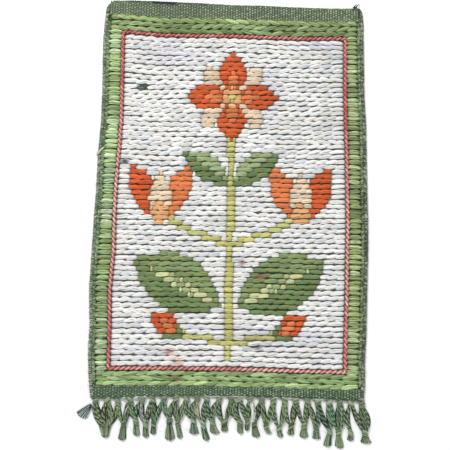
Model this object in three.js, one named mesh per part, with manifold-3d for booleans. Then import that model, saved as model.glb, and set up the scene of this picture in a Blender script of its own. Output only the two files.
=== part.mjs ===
import * as THREE from 'three';
import { mergeVertices } from 'three/addons/utils/BufferGeometryUtils.js';
import Module from 'manifold-3d';

// A small flat-woven wool rug, lying face up on the floor, with a knotted fringe along one end.
// Millimetres. +X is to the right, +Y runs from the fringe to the plain end, +Z is up.

// Heights above the floor
const GROUND = 4.2;
const RIM = 3.2;
const SELVEDGE = 5.6;
const VALLEY = 5.0;
const CREST = 7.6;
const BED = 3.0;

// Widths, taken from the rug's edge inwards
const SELVEDGE_RIDGE = 4.0;
const SELVEDGE_WIDTH = 10.5;
const FLOAT_START = 13.5;

// Rows of wrapped yarn
const FIELD_ROWS = 66;
const BORDER_ROWS = 3;
const TOP_BORDER = 25.5;
const FOOT_BORDER = 20.5;
const BAND_STEP = 1.0;
const ROW_WANDER = 0.9;
const HEIGHT_WANDER = 0.35;

// Stations across the field where its rows and the outline cord may bend
const FIELD_STATIONS = [-105, 5, 110];

// Outline cord and the bed that it lies in
const CORD_WIDTH = 5.2;
const CORD_HEIGHT = 4.7;
const CORD_SIDES = 6;
const GAP = 0.3;
const WALL = 0.4;
const BED_HALF = CORD_WIDTH / 2 + GAP + WALL;

// Rounded corners of the plain end
const CORNER_STEPS = [1, 0.55, 0.25, 0.08, 0];
const TOP_LEFT_RADIUS = 14;
const TOP_RIGHT_RADIUS = 7;

// Fringe
const STRIP = 2.6;
const STRIP_HEIGHT = 3.8;
const CORD = { slim: 1.6, full: 3.1, height: 3.2, endHeight: 2.8, spread: 1.0, gentle: 3.6 };
const ROOT_KNOT = { width: 9.4, length: 8.5, height: 6.2 };
const LOW_KNOT = { length: 8.0, height: 6.6 };
const NECK = { width: 6.4, length: 1.0, height: 3.4 };
const CORD_PITCH = 1.75;
const BRUSH = { strands: 3, start: 2.2, pitch: 2.4, width: 3.9, height: 2.8, tipHeight: 2.4 };
const CORD_SECTION = [[-1, 0], [1, 0], [0.8, 1], [-0.8, 1]];
const KNOT_SECTION = [[-1, 0], [1, 0], [0.7, 1], [-0.7, 1]];
const KNOT_END = 0.82;
const BITE = 1.4;
const SAME_POINT = 1e-4;

// The long edges and the long runs of the outline cord, at stations up the rug
const SIDES = [
  { y: 349, left: -189.3, lineLeft: -161.9, lineRight: 178.9, right: 206.0 },
  { y: 318, left: -192.0, lineLeft: -161.8, lineRight: 178.9, right: 208.4 },
  { y: 283, left: -193.0, lineLeft: -161.7, lineRight: 179.2, right: 208.0 },
  { y: 203, left: -190.7, lineLeft: -159.8, lineRight: 178.5, right: 208.2 },
  { y: 156, left: -190.2, lineLeft: -158.9, lineRight: 179.0, right: 210.0 },
  { y: 109, left: -192.4, lineLeft: -160.4, lineRight: 179.8, right: 210.2 },
  { y: 50, left: -192.5, lineLeft: -162.7, lineRight: 180.1, right: 210.4 },
  { y: 4, left: -193.8, lineLeft: -162.6, lineRight: 180.3, right: 211.0 },
  { y: -40, left: -194.4, lineLeft: -161.7, lineRight: 178.8, right: 210.2 },
  { y: -95, left: -195.4, lineLeft: -164.5, lineRight: 177.8, right: 208.0 },
  { y: -150, left: -192.1, lineLeft: -162.6, lineRight: 175.9, right: 206.2 },
  { y: -190, left: -192.3, lineLeft: -161.8, lineRight: 174.6, right: 203.5 },
  { y: -225, left: -189.3, lineLeft: -161.6, lineRight: 174.2, right: 203.3 },
  { y: -250, left: -185.8, lineLeft: -161.4, lineRight: 173.7, right: 200.6 },
];

// The short edges and the short runs of the outline cord, at stations across the rug
const ENDS = [
  { x: -196, bottom: -251.8, lineBottom: -208.9, lineTop: 297.6, top: 349.0 },
  { x: -150, bottom: -250.8, lineBottom: -208.4, lineTop: 296.4, top: 350.5 },
  { x: -105, bottom: -247.6, lineBottom: -207.3, lineTop: 292.7, top: 349.8 },
  { x: -45, bottom: -246.0, lineBottom: -206.8, lineTop: 292.5, top: 348.1 },
  { x: 5, bottom: -245.5, lineBottom: -206.4, lineTop: 293.1, top: 345.8 },
  { x: 50, bottom: -245.4, lineBottom: -206.7, lineTop: 292.1, top: 345.8 },
  { x: 110, bottom: -246.2, lineBottom: -207.7, lineTop: 291.0, top: 343.9 },
  { x: 160, bottom: -247.0, lineBottom: -207.9, lineTop: 292.0, top: 343.3 },
  { x: 212, bottom: -249.6, lineBottom: -208.0, lineTop: 292.4, top: 344.2 },
];

// Root knots from left to right. Each sends a left and a right pair of cords to the gathering
// knots numbered in `to`, and `bow` is how far each pair swings sideways on its way.
const ROOTS = [
  { x: -178.0, y: -254.5, to: [0, 0], bow: [-2.5, -1] },
  { x: -161.5, y: -252.8, to: [0, 0], bow: [-2.5, 3] },
  { x: -146.5, y: -254.7, to: [0, 1], bow: [1.5, -2] },
  { x: -129.0, y: -252.2, to: [1, 2], bow: [-1, -1.5] },
  { x: -112.0, y: -250.5, to: [2, 3], bow: [-4, -3] },
  { x: -97.8, y: -249.4, to: [3, 4], bow: [-1, 1] },
  { x: -81.3, y: -249.0, to: [4, 5], bow: [-1, -2] },
  { x: -64.4, y: -248.6, to: [5, 6], bow: [-3, -1.5] },
  { x: -49.3, y: -248.8, to: [6, 7], bow: [-1, -4] },
  { x: -34.3, y: -248.4, to: [7, 8], bow: [-5, -4] },
  { x: -21.0, y: -248.0, to: [8, 9], bow: [-1, -3] },
  { x: -3.2, y: -248.4, to: [9, 10], bow: [-4, -4] },
  { x: 13.4, y: -248.4, to: [10, 11], bow: [0, -4] },
  { x: 25.2, y: -247.4, to: [11, 12], bow: [-5, 0] },
  { x: 40.5, y: -247.5, to: [12, 13], bow: [-1, 1] },
  { x: 56.4, y: -249.0, to: [13, 14], bow: [-1, 0] },
  { x: 72.9, y: -249.2, to: [14, 15], bow: [0, -2] },
  { x: 88.9, y: -248.2, to: [15, 16], bow: [1.5, -2] },
  { x: 104.6, y: -248.4, to: [16, 17], bow: [0, 0] },
  { x: 121.3, y: -249.4, to: [17, 18], bow: [0, 1] },
  { x: 135.6, y: -250.0, to: [18, 19], bow: [2, 0] },
  { x: 151.7, y: -249.6, to: [19, 20], bow: [1, 0] },
  { x: 166.7, y: -250.6, to: [20, 20], bow: [0, 3] },
  { x: 182.6, y: -251.0, to: [21, 22], bow: [-3, 1] },
  { x: 198.0, y: -252.3, to: [22, 22], bow: [0, 3] },
];

// Gathering knots, each with the middle and the half width of its cut brush
const GATHERS = [
  { x: -164.5, y: -286, width: 14, tipX: -161.5, tipY: -302.5, flare: 6 },
  { x: -137.0, y: -285.3, width: 8.5, tipX: -138.8, tipY: -307, flare: 5.5 },
  { x: -120.0, y: -281.5, width: 8.5, tipX: -118.3, tipY: -300.5, flare: 5 },
  { x: -106.3, y: -286, width: 8, tipX: -105.2, tipY: -302.5, flare: 4.2 },
  { x: -95.0, y: -285, width: 8, tipX: -95.2, tipY: -298, flare: 3.7 },
  { x: -73.0, y: -279, width: 9, tipX: -71.5, tipY: -306, flare: 7.5 },
  { x: -61.2, y: -281, width: 7.5, tipX: -56.9, tipY: -303, flare: 3.7 },
  { x: -39.0, y: -278.5, width: 8, tipX: -37.2, tipY: -297, flare: 7 },
  { x: -25.3, y: -283.5, width: 8, tipX: -20, tipY: -305, flare: 5.2 },
  { x: -12.5, y: -279.5, width: 8.5, tipX: -7.5, tipY: -296, flare: 6.5 },
  { x: 4.5, y: -281, width: 9.5, tipX: 5, tipY: -292.5, flare: 5 },
  { x: 26.3, y: -280, width: 9, tipX: 27.4, tipY: -295, flare: 4.3 },
  { x: 36.6, y: -278, width: 7, tipX: 36.4, tipY: -290.5, flare: 2.9 },
  { x: 46.5, y: -282, width: 8, tipX: 50, tipY: -299.5, flare: 5.5 },
  { x: 63.0, y: -282.5, width: 8, tipX: 67.5, tipY: -294.5, flare: 4.2 },
  { x: 81.2, y: -286.3, width: 8, tipX: 83.5, tipY: -298.7, flare: 4 },
  { x: 98.3, y: -284, width: 8.5, tipX: 97.9, tipY: -295.5, flare: 4.8 },
  { x: 116.5, y: -282.5, width: 9, tipX: 116.5, tipY: -299, flare: 6.3 },
  { x: 133.2, y: -285.5, width: 9, tipX: 134.3, tipY: -300.5, flare: 6 },
  { x: 152.2, y: -290, width: 8.5, tipX: 149, tipY: -310, flare: 6 },
  { x: 164.8, y: -289.5, width: 9, tipX: 167, tipY: -312.3, flare: 6.3 },
  { x: 182.0, y: -291, width: 8, tipX: 181.8, tipY: -301.5, flare: 4.3 },
  { x: 201.7, y: -291.5, width: 9.5, tipX: 204, tipY: -305, flare: 8 },
];

// The brush that strays past the left edge
const STRAY = { fromX: -180.5, fromY: -256.5, tipX: -196.8, tipY: -274.5, flareX: 5.6, flareY: -3.4 };

const wasm = await Module();
wasm.setup();

function wander(seed) {
  const wave = Math.sin(seed * 12.9898 + 4.1) * 43758.5453;
  return (wave - Math.floor(wave)) * 2 - 1;
}

function readTable(table, key, at) {
  const rising = table[1][key] > table[0][key];
  const inside = (row) => (rising ? row[key] >= at : row[key] <= at);
  const next = Math.max(1, table.findIndex(inside) < 0 ? table.length - 1 : table.findIndex(inside));
  const a = table[next - 1];
  const b = table[next];
  const part = THREE.MathUtils.clamp((at - a[key]) / (b[key] - a[key]), 0, 1);
  const values = {};
  for (const name of Object.keys(a)) {
    values[name] = a[name] + (b[name] - a[name]) * part;
  }
  return values;
}

function cornerInset(radius, distance) {
  const into = Math.max(0, radius - distance);
  return radius - Math.sqrt(Math.max(0, radius * radius - into * into));
}

const sidesAt = (y) => readTable(SIDES, 'y', y);
const endsAt = (x) => readTable(ENDS, 'x', x);

function yOf(row, x) {
  const ends = endsAt(x);
  return ends[row.low] + (ends[row.high] - ends[row.low]) * row.part + row.offset;
}

// Near a rounded corner the lines beside the edge close up, and those at the cord stay straight
function xOf(column, y) {
  if (column.from === 'field') return column.offset;
  const sides = sidesAt(y);
  const edge = sides[column.from];
  if (column.from.startsWith('line')) return edge + column.offset;
  const isLeft = column.from === 'left';
  const inward = isLeft ? 1 : -1;
  const radius = isLeft ? TOP_LEFT_RADIUS : TOP_RIGHT_RADIUS;
  const inset = cornerInset(radius, endsAt(edge).top - y);
  const span = Math.abs(sides[isLeft ? 'lineLeft' : 'lineRight'] - edge) - BED_HALF;
  return edge + inward * inset + column.offset * (span - inset) / span;
}

function placed(column, row) {
  const x = xOf(column, yOf(row, 0));
  return new THREE.Vector2(x, yOf(row, x));
}

function closedGeometry(positions, triangles) {
  const geometry = new THREE.BufferGeometry();
  geometry.setAttribute('position', new THREE.Float32BufferAttribute(positions, 3));
  geometry.setIndex(triangles);
  return geometry;
}

// The lines of points that run up the rug, from the left edge to the right edge
function columnLines() {
  const halfBed = (from, side) => [
    { from, offset: side * BED_HALF, kind: 'cover' },
    { from, offset: side * (BED_HALF - WALL), kind: 'bed' },
    { from, offset: -side * (BED_HALF - WALL), kind: 'bed' },
    { from, offset: -side * BED_HALF, kind: 'cover' },
  ];
  const half = (edge, line, side) => [
    { from: edge, offset: 0, kind: 'rim' },
    { from: edge, offset: -side * SELVEDGE_RIDGE, kind: 'selvedge' },
    { from: edge, offset: -side * SELVEDGE_WIDTH, kind: 'seam' },
    { from: edge, offset: -side * FLOAT_START, kind: 'cover' },
    ...halfBed(line, side),
  ];
  const inside = FIELD_STATIONS.map((x) => ({ from: 'field', offset: x, kind: 'cover' }));
  return [...half('left', 'lineLeft', -1), ...inside, ...half('right', 'lineRight', 1).reverse()];
}

const FOOT_ROW = { low: 'bottom', high: 'bottom', part: 0, offset: STRIP + GAP, kind: 'plain' };

// The lines of points that run across the rug, from the foot to the plain end
function rowLines() {
  const at = (low, high, part, offset, kind) => ({ low, high, part, offset, kind });
  const rows = [FOOT_ROW];
  const wrapped = (count, low, lowOffset, high, highOffset) => {
    for (let i = 0; i < count; i++) {
      for (const [step, kind] of [[0, 'valley'], [0.5, 'crest']]) {
        const part = (i + step) / count;
        rows.push(at(low, high, part, lowOffset + (highOffset - lowOffset) * part, kind));
      }
    }
  };
  const bed = (line) => {
    rows.push(at(line, line, 0, -BED_HALF, 'valley'));
    rows.push(at(line, line, 0, -BED_HALF + WALL, 'bed'));
    rows.push(at(line, line, 0, BED_HALF - WALL, 'bed'));
  };
  rows.push(at('lineBottom', 'lineBottom', 0, -BED_HALF - FOOT_BORDER - BAND_STEP, 'plain'));
  wrapped(BORDER_ROWS, 'lineBottom', -BED_HALF - FOOT_BORDER, 'lineBottom', -BED_HALF);
  bed('lineBottom');
  wrapped(FIELD_ROWS, 'lineBottom', BED_HALF, 'lineTop', -BED_HALF);
  bed('lineTop');
  wrapped(BORDER_ROWS, 'lineTop', BED_HALF, 'lineTop', BED_HALF + TOP_BORDER);
  rows.push(at('lineTop', 'lineTop', 0, BED_HALF + TOP_BORDER, 'valley'));
  rows.push(at('lineTop', 'lineTop', 0, BED_HALF + TOP_BORDER + BAND_STEP, 'plain'));
  for (const share of CORNER_STEPS) {
    rows.push(at('top', 'top', 0, -TOP_LEFT_RADIUS * share, 'plain'));
  }
  return rows;
}

function heightAt(column, row, inBed) {
  if (column.kind === 'rim') return RIM;
  if (column.kind === 'selvedge') return SELVEDGE;
  if (row.kind === 'plain') return GROUND;
  if (column.kind === 'seam') return GROUND;
  if (inBed) return BED;
  return row.kind === 'valley' ? VALLEY : CREST;
}

function rugBody() {
  const columns = columnLines();
  const rows = rowLines();
  const bedColumns = columns.flatMap((column, i) => (column.kind === 'bed' ? [i] : []));
  const bedRows = rows.flatMap((row, i) => (row.kind === 'bed' ? [i] : []));
  const within = (list, i) => i >= list[0] && i <= list[list.length - 1];
  const positions = [];
  rows.forEach((row, r) => {
    columns.forEach((column, c) => {
      const crossing = within(bedColumns, c) && within(bedRows, r);
      const inBed = crossing && (column.kind === 'bed' || row.kind === 'bed');
      const point = placed(column, row);
      let z = heightAt(column, row, inBed);
      if (column.from === 'field' && (row.kind === 'crest' || row.kind === 'valley') && row.part > 0) {
        point.y += ROW_WANDER * wander(r * 31 + c);
      }
      if (row.kind === 'crest' && column.kind === 'cover') {
        z += HEIGHT_WANDER * wander(r * 17 + c * 5);
      }
      positions.push(point.x, point.y, z);
    });
  });
  const across = columns.length;
  const triangles = [];
  for (let r = 0; r + 1 < rows.length; r++) {
    for (let c = 0; c + 1 < across; c++) {
      const a = r * across + c;
      triangles.push(a, a + 1, a + across + 1, a, a + across + 1, a + across);
    }
  }
  const last = rows.length - 1;
  const rim = [];
  for (let c = 0; c < across; c++) rim.push(c);
  for (let r = 1; r <= last; r++) rim.push(r * across + across - 1);
  for (let c = across - 2; c >= 0; c--) rim.push(last * across + c);
  for (let r = last - 1; r > 0; r--) rim.push(r * across);
  const base = positions.length / 3;
  for (const index of rim) positions.push(positions[index * 3], positions[index * 3 + 1], 0);
  rim.forEach((index, i) => {
    const j = (i + 1) % rim.length;
    triangles.push(index, base + i, base + j, index, base + j, rim[j]);
  });
  const underside = (a, b, c) => triangles.push(base + a, base + c, base + b);
  const rightEdge = (r) => across - 1 + r;
  const leftEdge = (r) => (r === 0 ? 0 : rim.length - r);
  for (let c = 0; c + 1 < across; c++) {
    underside(leftEdge(1), c, c + 1);
    underside(rightEdge(last - 1), rightEdge(last) + c, rightEdge(last) + c + 1);
  }
  underside(leftEdge(1), rightEdge(0), rightEdge(1));
  underside(rightEdge(last - 1), leftEdge(last), leftEdge(last - 1));
  for (let r = 1; r + 1 < last; r++) {
    underside(leftEdge(r), rightEdge(r), rightEdge(r + 1));
    underside(leftEdge(r), rightEdge(r + 1), leftEdge(r + 1));
  }
  return closedGeometry(positions, triangles);
}

// The cord's path, once around the field, on the same stations as the bed
function cordPath() {
  const onEnd = (end) => ({ low: end, high: end, part: 0, offset: 0 });
  const corner = (line, end) => placed({ from: line, offset: 0 }, onEnd(end));
  const acrossAt = (end) => FIELD_STATIONS.map((x) => new THREE.Vector2(x, endsAt(x)[end]));
  const upAt = (line) => {
    const stations = SIDES.filter((row) => row.y > endsAt(0).lineBottom && row.y < endsAt(0).lineTop);
    return stations.map((row) => new THREE.Vector2(row[line], row.y)).reverse();
  };
  return [
    corner('lineLeft', 'lineBottom'), ...acrossAt('lineBottom'),
    corner('lineRight', 'lineBottom'), ...upAt('lineRight'),
    corner('lineRight', 'lineTop'), ...acrossAt('lineTop').reverse(),
    corner('lineLeft', 'lineTop'), ...upAt('lineLeft').reverse(),
  ];
}

function outlineCord() {
  const path = cordPath();
  const positions = [];
  const triangles = [];
  path.forEach((point, i) => {
    const before = path[(i + path.length - 1) % path.length];
    const after = path[(i + 1) % path.length];
    const normalIn = point.clone().sub(before).normalize().rotateAround(new THREE.Vector2(), -Math.PI / 2);
    const normalOut = after.clone().sub(point).normalize().rotateAround(new THREE.Vector2(), -Math.PI / 2);
    const mitre = normalIn.clone().add(normalOut).divideScalar(1 + normalIn.dot(normalOut));
    for (let k = 0; k < CORD_SIDES; k++) {
      const turn = (k / CORD_SIDES) * Math.PI * 2;
      const out = point.clone().addScaledVector(mitre, Math.cos(turn) * CORD_WIDTH / 2);
      const z = BED + GAP + CORD_HEIGHT / 2 + Math.sin(turn) * CORD_HEIGHT / 2 / Math.sin(Math.PI / 3);
      positions.push(out.x, out.y, z);
      const next = (i + 1) % path.length;
      const a = i * CORD_SIDES + k;
      const b = i * CORD_SIDES + (k + 1) % CORD_SIDES;
      const c = next * CORD_SIDES + k;
      const d = next * CORD_SIDES + (k + 1) % CORD_SIDES;
      triangles.push(a, c, d, a, d, b);
    }
  });
  return closedGeometry(positions, triangles);
}

// A flat-bottomed strand along stations of { x, y, width, height }. The section is a list of
// [side, level], with the side counted in half widths and the level in heights.
function strand(stations, section = CORD_SECTION) {
  const positions = [];
  const triangles = [];
  const sides = section.length;
  stations.forEach((station, i) => {
    const a = stations[Math.max(0, i - 1)];
    const b = stations[Math.min(stations.length - 1, i + 1)];
    const along = new THREE.Vector2(b.x - a.x, b.y - a.y).normalize();
    for (const [side, level] of section) {
      const out = side * station.width / 2;
      positions.push(station.x + along.y * out, station.y - along.x * out, level * station.height);
    }
  });
  for (let i = 0; i + 1 < stations.length; i++) {
    for (let k = 0; k < sides; k++) {
      const a = i * sides + k;
      const b = i * sides + (k + 1) % sides;
      triangles.push(a, b + sides, b, a, a + sides, b + sides);
    }
  }
  const end = (stations.length - 1) * sides;
  for (let k = 1; k + 1 < sides; k++) {
    triangles.push(0, k, k + 1, end, end + k + 1, end + k);
  }
  return solidOf(closedGeometry(positions, triangles));
}

// A knot wound about the Y axis, fullest in the middle, with a flat underside
function knot(x, y, width, length, height) {
  return strand([
    { x, y: y + length / 2, width: width * KNOT_END, height: height * KNOT_END },
    { x, y, width, height },
    { x, y: y - length / 2, width: width * KNOT_END, height: height * KNOT_END },
  ], KNOT_SECTION);
}

function solidOf(geometry) {
  const bare = geometry.clone();
  bare.deleteAttribute('normal');
  bare.deleteAttribute('uv');
  const merged = mergeVertices(bare, SAME_POINT);
  const mesh = new wasm.Mesh({
    numProp: 3,
    vertProperties: new Float32Array(merged.attributes.position.array),
    triVerts: new Uint32Array(merged.index.array),
  });
  return new wasm.Manifold(mesh);
}

function geometryOf(solid) {
  const mesh = solid.getMesh();
  return closedGeometry(Array.from(mesh.vertProperties), Array.from(mesh.triVerts));
}

// The woven strip that holds the roots, parted from the foot of the cloth and as uneven as it
function rootStrip() {
  const columns = columnLines().filter((column) => column.kind !== 'bed');
  const foot = columns.map((column) => placed(column, FOOT_ROW));
  const middle = ({ x, y }) => ({ x, y: y - GAP - STRIP / 2, width: STRIP, height: STRIP_HEIGHT });
  return strand(foot.map(middle).reverse());
}

function cordStations(from, to, bow) {
  const control = { x: (from.x + to.x) / 2 + bow * 2, y: (from.y + to.y) / 2 };
  const steps = Math.abs(bow) > CORD.gentle ? [0, 1 / 3, 2 / 3, 1] : [0, 1 / 2, 1];
  return steps.map((t) => {
    const blend = (key) => (1 - t) ** 2 * from[key] + 2 * t * (1 - t) * control[key] + t * t * to[key];
    const full = t > 0 && t < 1;
    return {
      x: blend('x'),
      y: blend('y'),
      width: full ? CORD.full : CORD.slim,
      height: full ? CORD.height : CORD.endHeight,
    };
  });
}

function brush(from, tip, flareX, flareY) {
  const length = Math.hypot(flareX, flareY);
  const strands = [];
  for (let k = 0; k < BRUSH.strands; k++) {
    const side = (k / (BRUSH.strands - 1)) * 2 - 1;
    const start = side * BRUSH.pitch / length;
    strands.push(strand([
      { x: from.x + start * flareX, y: from.y + start * flareY, width: BRUSH.start, height: BRUSH.height },
      {
        x: tip.x + side * flareX,
        y: tip.y + side * flareY + wander(tip.x + k),
        width: BRUSH.width,
        height: BRUSH.tipHeight,
      },
    ]));
  }
  return strands;
}

function knottedFringe() {
  const solids = [rootStrip()];
  const arriving = GATHERS.map(() => []);
  for (const root of ROOTS) {
    solids.push(knot(root.x, root.y, ROOT_KNOT.width, ROOT_KNOT.length, ROOT_KNOT.height));
    const neck = { x: root.x, width: NECK.width, height: NECK.height };
    const neckTop = endsAt(root.x).bottom + STRIP / 2;
    const neckFoot = Math.min(neckTop - NECK.length, root.y + ROOT_KNOT.length / 2 - BITE);
    solids.push(strand([{ ...neck, y: neckTop }, { ...neck, y: neckFoot }]));
    for (const pair of [0, 1]) {
      for (const member of [0, 1]) {
        const x = root.x + (pair * 2 + member - 1.5) * CORD_PITCH;
        const from = { x, y: root.y - ROOT_KNOT.length / 2 + BITE };
        arriving[root.to[pair]].push({ from, bow: root.bow[pair] + (member * 2 - 1) * CORD.spread });
      }
    }
  }
  GATHERS.forEach((gather, i) => {
    const cords = arriving[i];
    const pitch = Math.min(CORD_PITCH, (gather.width * KNOT_END - CORD.slim) / (cords.length - 1));
    cords.forEach((cord, k) => {
      const x = gather.x + (k - (cords.length - 1) / 2) * pitch;
      const to = { x, y: gather.y + LOW_KNOT.length / 2 - BITE };
      solids.push(strand(cordStations(cord.from, to, cord.bow)));
    });
    solids.push(knot(gather.x, gather.y, gather.width, LOW_KNOT.length, LOW_KNOT.height));
    const below = { x: gather.x, y: gather.y - LOW_KNOT.length / 2 + BITE };
    solids.push(...brush(below, { x: gather.tipX, y: gather.tipY }, gather.flare, 0));
  });
  const stray = { x: STRAY.tipX, y: STRAY.tipY };
  solids.push(...brush({ x: STRAY.fromX, y: STRAY.fromY }, stray, STRAY.flareX, STRAY.flareY));
  return geometryOf(wasm.Manifold.union(solids));
}

function named(name, geometry, colour, roughness) {
  const material = new THREE.MeshStandardMaterial({ color: colour, roughness, metalness: 0 });
  const mesh = new THREE.Mesh(geometry, material);
  mesh.name = name;
  return mesh;
}

const rug = new THREE.Group();
rug.add(
  named('rug_body', rugBody(), 0xd9d9cf, 0.95),
  named('outline_cord', outlineCord(), 0xd05a60, 0.9),
  named('knotted_fringe', knottedFringe(), 0x6f8a70, 0.95),
);

// The origin is the middle of the whole rug, on the floor
const box = new THREE.Box3().setFromObject(rug);
const centre = box.getCenter(new THREE.Vector3());
rug.position.set(-centre.x, -centre.y, -box.min.z);

export default rug;
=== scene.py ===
import math
from functools import partial

import bpy
import numpy as np
from mathutils import Matrix


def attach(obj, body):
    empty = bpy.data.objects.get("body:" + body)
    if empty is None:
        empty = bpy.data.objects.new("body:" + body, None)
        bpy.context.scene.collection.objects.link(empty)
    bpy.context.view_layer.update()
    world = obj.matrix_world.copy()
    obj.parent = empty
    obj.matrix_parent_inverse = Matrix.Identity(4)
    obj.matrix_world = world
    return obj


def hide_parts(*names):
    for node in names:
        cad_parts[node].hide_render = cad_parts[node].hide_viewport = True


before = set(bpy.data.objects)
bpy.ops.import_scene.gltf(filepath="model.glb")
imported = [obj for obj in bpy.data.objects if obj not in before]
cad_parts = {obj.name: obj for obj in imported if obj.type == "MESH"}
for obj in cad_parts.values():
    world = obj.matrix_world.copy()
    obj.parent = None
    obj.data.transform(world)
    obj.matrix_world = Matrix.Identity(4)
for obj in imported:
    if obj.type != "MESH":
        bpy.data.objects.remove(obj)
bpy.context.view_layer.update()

# Lengths are in millimetres, in the same plane as the part's tables, until a mesh is made
MM = 0.001
SHIFT = np.array([-5.0144, -18.4165, 0.0])
X_AXIS = np.array([1.0, 0.0, 0.0])
Y_AXIS = np.array([0.0, 1.0, 0.0])
UP = np.array([0.0, 0.0, 1.0])
rng = np.random.default_rng(20)


def table(keys, *rows):
    return [dict(zip(keys, row)) for row in rows]


# The rug's edges and the outline cord, as in the part: sides from foot to head, ends from left to right
SIDES = {
    "y": [-250, -225, -190, -150, -95, -40, 4, 50, 109, 156, 203, 283, 318, 349],
    "left": [
        -185.8, -189.3, -192.3, -192.1, -195.4, -194.4, -193.8,
        -192.5, -192.4, -190.2, -190.7, -193.0, -192.0, -189.3,
    ],
    "lineLeft": [
        -161.4, -161.6, -161.8, -162.6, -164.5, -161.7, -162.6,
        -162.7, -160.4, -158.9, -159.8, -161.7, -161.8, -161.9,
    ],
    "lineRight": [
        173.7, 174.2, 174.6, 175.9, 177.8, 178.8, 180.3, 180.1, 179.8, 179.0, 178.5, 179.2, 178.9, 178.9,
    ],
    "right": [
        200.6, 203.3, 203.5, 206.2, 208.0, 210.2, 211.0, 210.4, 210.2, 210.0, 208.2, 208.0, 208.4, 206.0,
    ],
}
ENDS = {
    "x": [-196, -150, -105, -45, 5, 50, 110, 160, 212],
    "bottom": [-251.8, -250.8, -247.6, -246.0, -245.5, -245.4, -246.2, -247.0, -249.6],
    "lineBottom": [-208.9, -208.4, -207.3, -206.8, -206.4, -206.7, -207.7, -207.9, -208.0],
    "lineTop": [297.6, 296.4, 292.7, 292.5, 293.1, 292.1, 291.0, 292.0, 292.4],
    "top": [349.0, 350.5, 349.8, 348.1, 345.8, 345.8, 343.9, 343.3, 344.2],
}
ROOTS = table(
    ("x", "y", "to", "bow", "wool"),
    (-178.0, -254.5, (0, 0), (-0.5, -0.5), ("olive", "olive")),
    (-161.5, -252.8, (0, 0), (-2.5, 3), ("olive", "olive")),
    (-146.5, -254.7, (0, 1), (1.5, -2), ("olive", "leaf")),
    (-129.0, -252.2, (1, 2), (-1, -1.5), ("dark", "leaf")),
    (-112.0, -250.5, (2, 3), (-4, -3), ("teal", "lilac")),
    (-97.8, -249.4, (3, 4), (-1, 1), ("grey", "dark")),
    (-81.3, -249.0, (4, 5), (-1, -2), ("teal", "teal")),
    (-64.4, -248.6, (5, 6), (-3, -1.5), ("grey", "olive")),
    (-49.3, -248.8, (6, 7), (-1, -4), ("grey", "grey")),
    (-34.3, -248.4, (7, 8), (-5, -4), ("teal", "sand")),
    (-21.0, -248.0, (8, 9), (-1, -3), ("teal", "teal")),
    (-3.2, -248.4, (9, 10), (-4, -4), ("grey", "grey")),
    (13.4, -248.4, (10, 11), (0, -4), ("dark", "grey")),
    (25.2, -247.4, (11, 12), (-5, 0), ("leaf", "grey")),
    (40.5, -247.5, (12, 13), (-1, 1), ("leaf", "pale")),
    (56.4, -249.0, (13, 14), (-1, 0), ("dark", "olive")),
    (72.9, -249.2, (14, 15), (0, -2), ("leaf", "grey")),
    (88.9, -248.2, (15, 16), (1.5, -2), ("leaf", "leaf")),
    (104.6, -248.4, (16, 17), (0, 0), ("olive", "grey")),
    (121.3, -249.4, (17, 18), (0, 1), ("leaf", "olive")),
    (135.6, -250.0, (18, 19), (2, 0), ("teal", "dark")),
    (151.7, -249.6, (19, 20), (1, 0), ("teal", "teal")),
    (166.7, -250.6, (20, 20), (0, 3), ("dark", "leaf")),
    (182.6, -251.0, (21, 22), (-3, 1), ("grey", "olive")),
    (198.0, -252.3, (22, 22), (0, 3), ("dark", "olive")),
)
GATHERS = table(
    ("x", "y", "width", "tip", "flare"),
    (-163.5, -291, 19.5, (-162, -303.5), 5),
    (-137.0, -285.3, 8.5, (-138.8, -307), 5.5),
    (-120.0, -281.5, 8.5, (-118.3, -300.5), 5),
    (-106.3, -286, 8, (-105.2, -302.5), 4.2),
    (-95.0, -285, 8, (-95.2, -298), 3.7),
    (-73.0, -279, 9, (-71.5, -306), 7.5),
    (-61.2, -281, 7.5, (-56.9, -303), 3.7),
    (-39.0, -278.5, 8, (-37.2, -297), 7),
    (-25.3, -283.5, 8, (-20, -305), 5.2),
    (-12.5, -279.5, 8.5, (-7.5, -296), 6.5),
    (4.5, -281, 9.5, (5, -292.5), 5),
    (26.3, -280, 9, (27.4, -295), 4.3),
    (36.6, -278, 7, (36.4, -290.5), 2.9),
    (46.5, -282, 8, (50, -299.5), 5.5),
    (63.0, -282.5, 8, (67.5, -294.5), 4.2),
    (81.2, -286.3, 8, (83.5, -298.7), 4),
    (98.3, -284, 8.5, (97.9, -295.5), 4.8),
    (116.5, -282.5, 9, (116.5, -299), 6.3),
    (133.2, -285.5, 9, (134.3, -300.5), 6),
    (152.2, -290, 8.5, (149, -310), 6),
    (164.8, -289.5, 9, (167, -312.3), 6.3),
    (182.0, -291, 8, (181.8, -301.5), 4.3),
    (201.7, -291.5, 9.5, (204, -305), 8),
)

# Sizes that the part's solids have
BED_HALF = 3.3
FIELD_ROWS = 66
BORDER_ROWS = 3
TOP_BORDER = 25.5
FOOT_BORDER = 20.5
TOP_LEFT_RADIUS = 14
TOP_RIGHT_RADIUS = 7
CORD_LEVEL = 5.65
SURFACE = 5.5
STRIP = 2.6
GAP = 0.3

WARP_PITCH = 4.05
STITCH_PITCH = 16.2
MIDDLE_X = 7.5

def linear(colour):
    """Linear light from display values."""
    share = np.asarray(colour, dtype=float) / 255
    return np.where(share <= 0.04045, share / 12.92, ((share + 0.055) / 1.055) ** 2.4)


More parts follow.
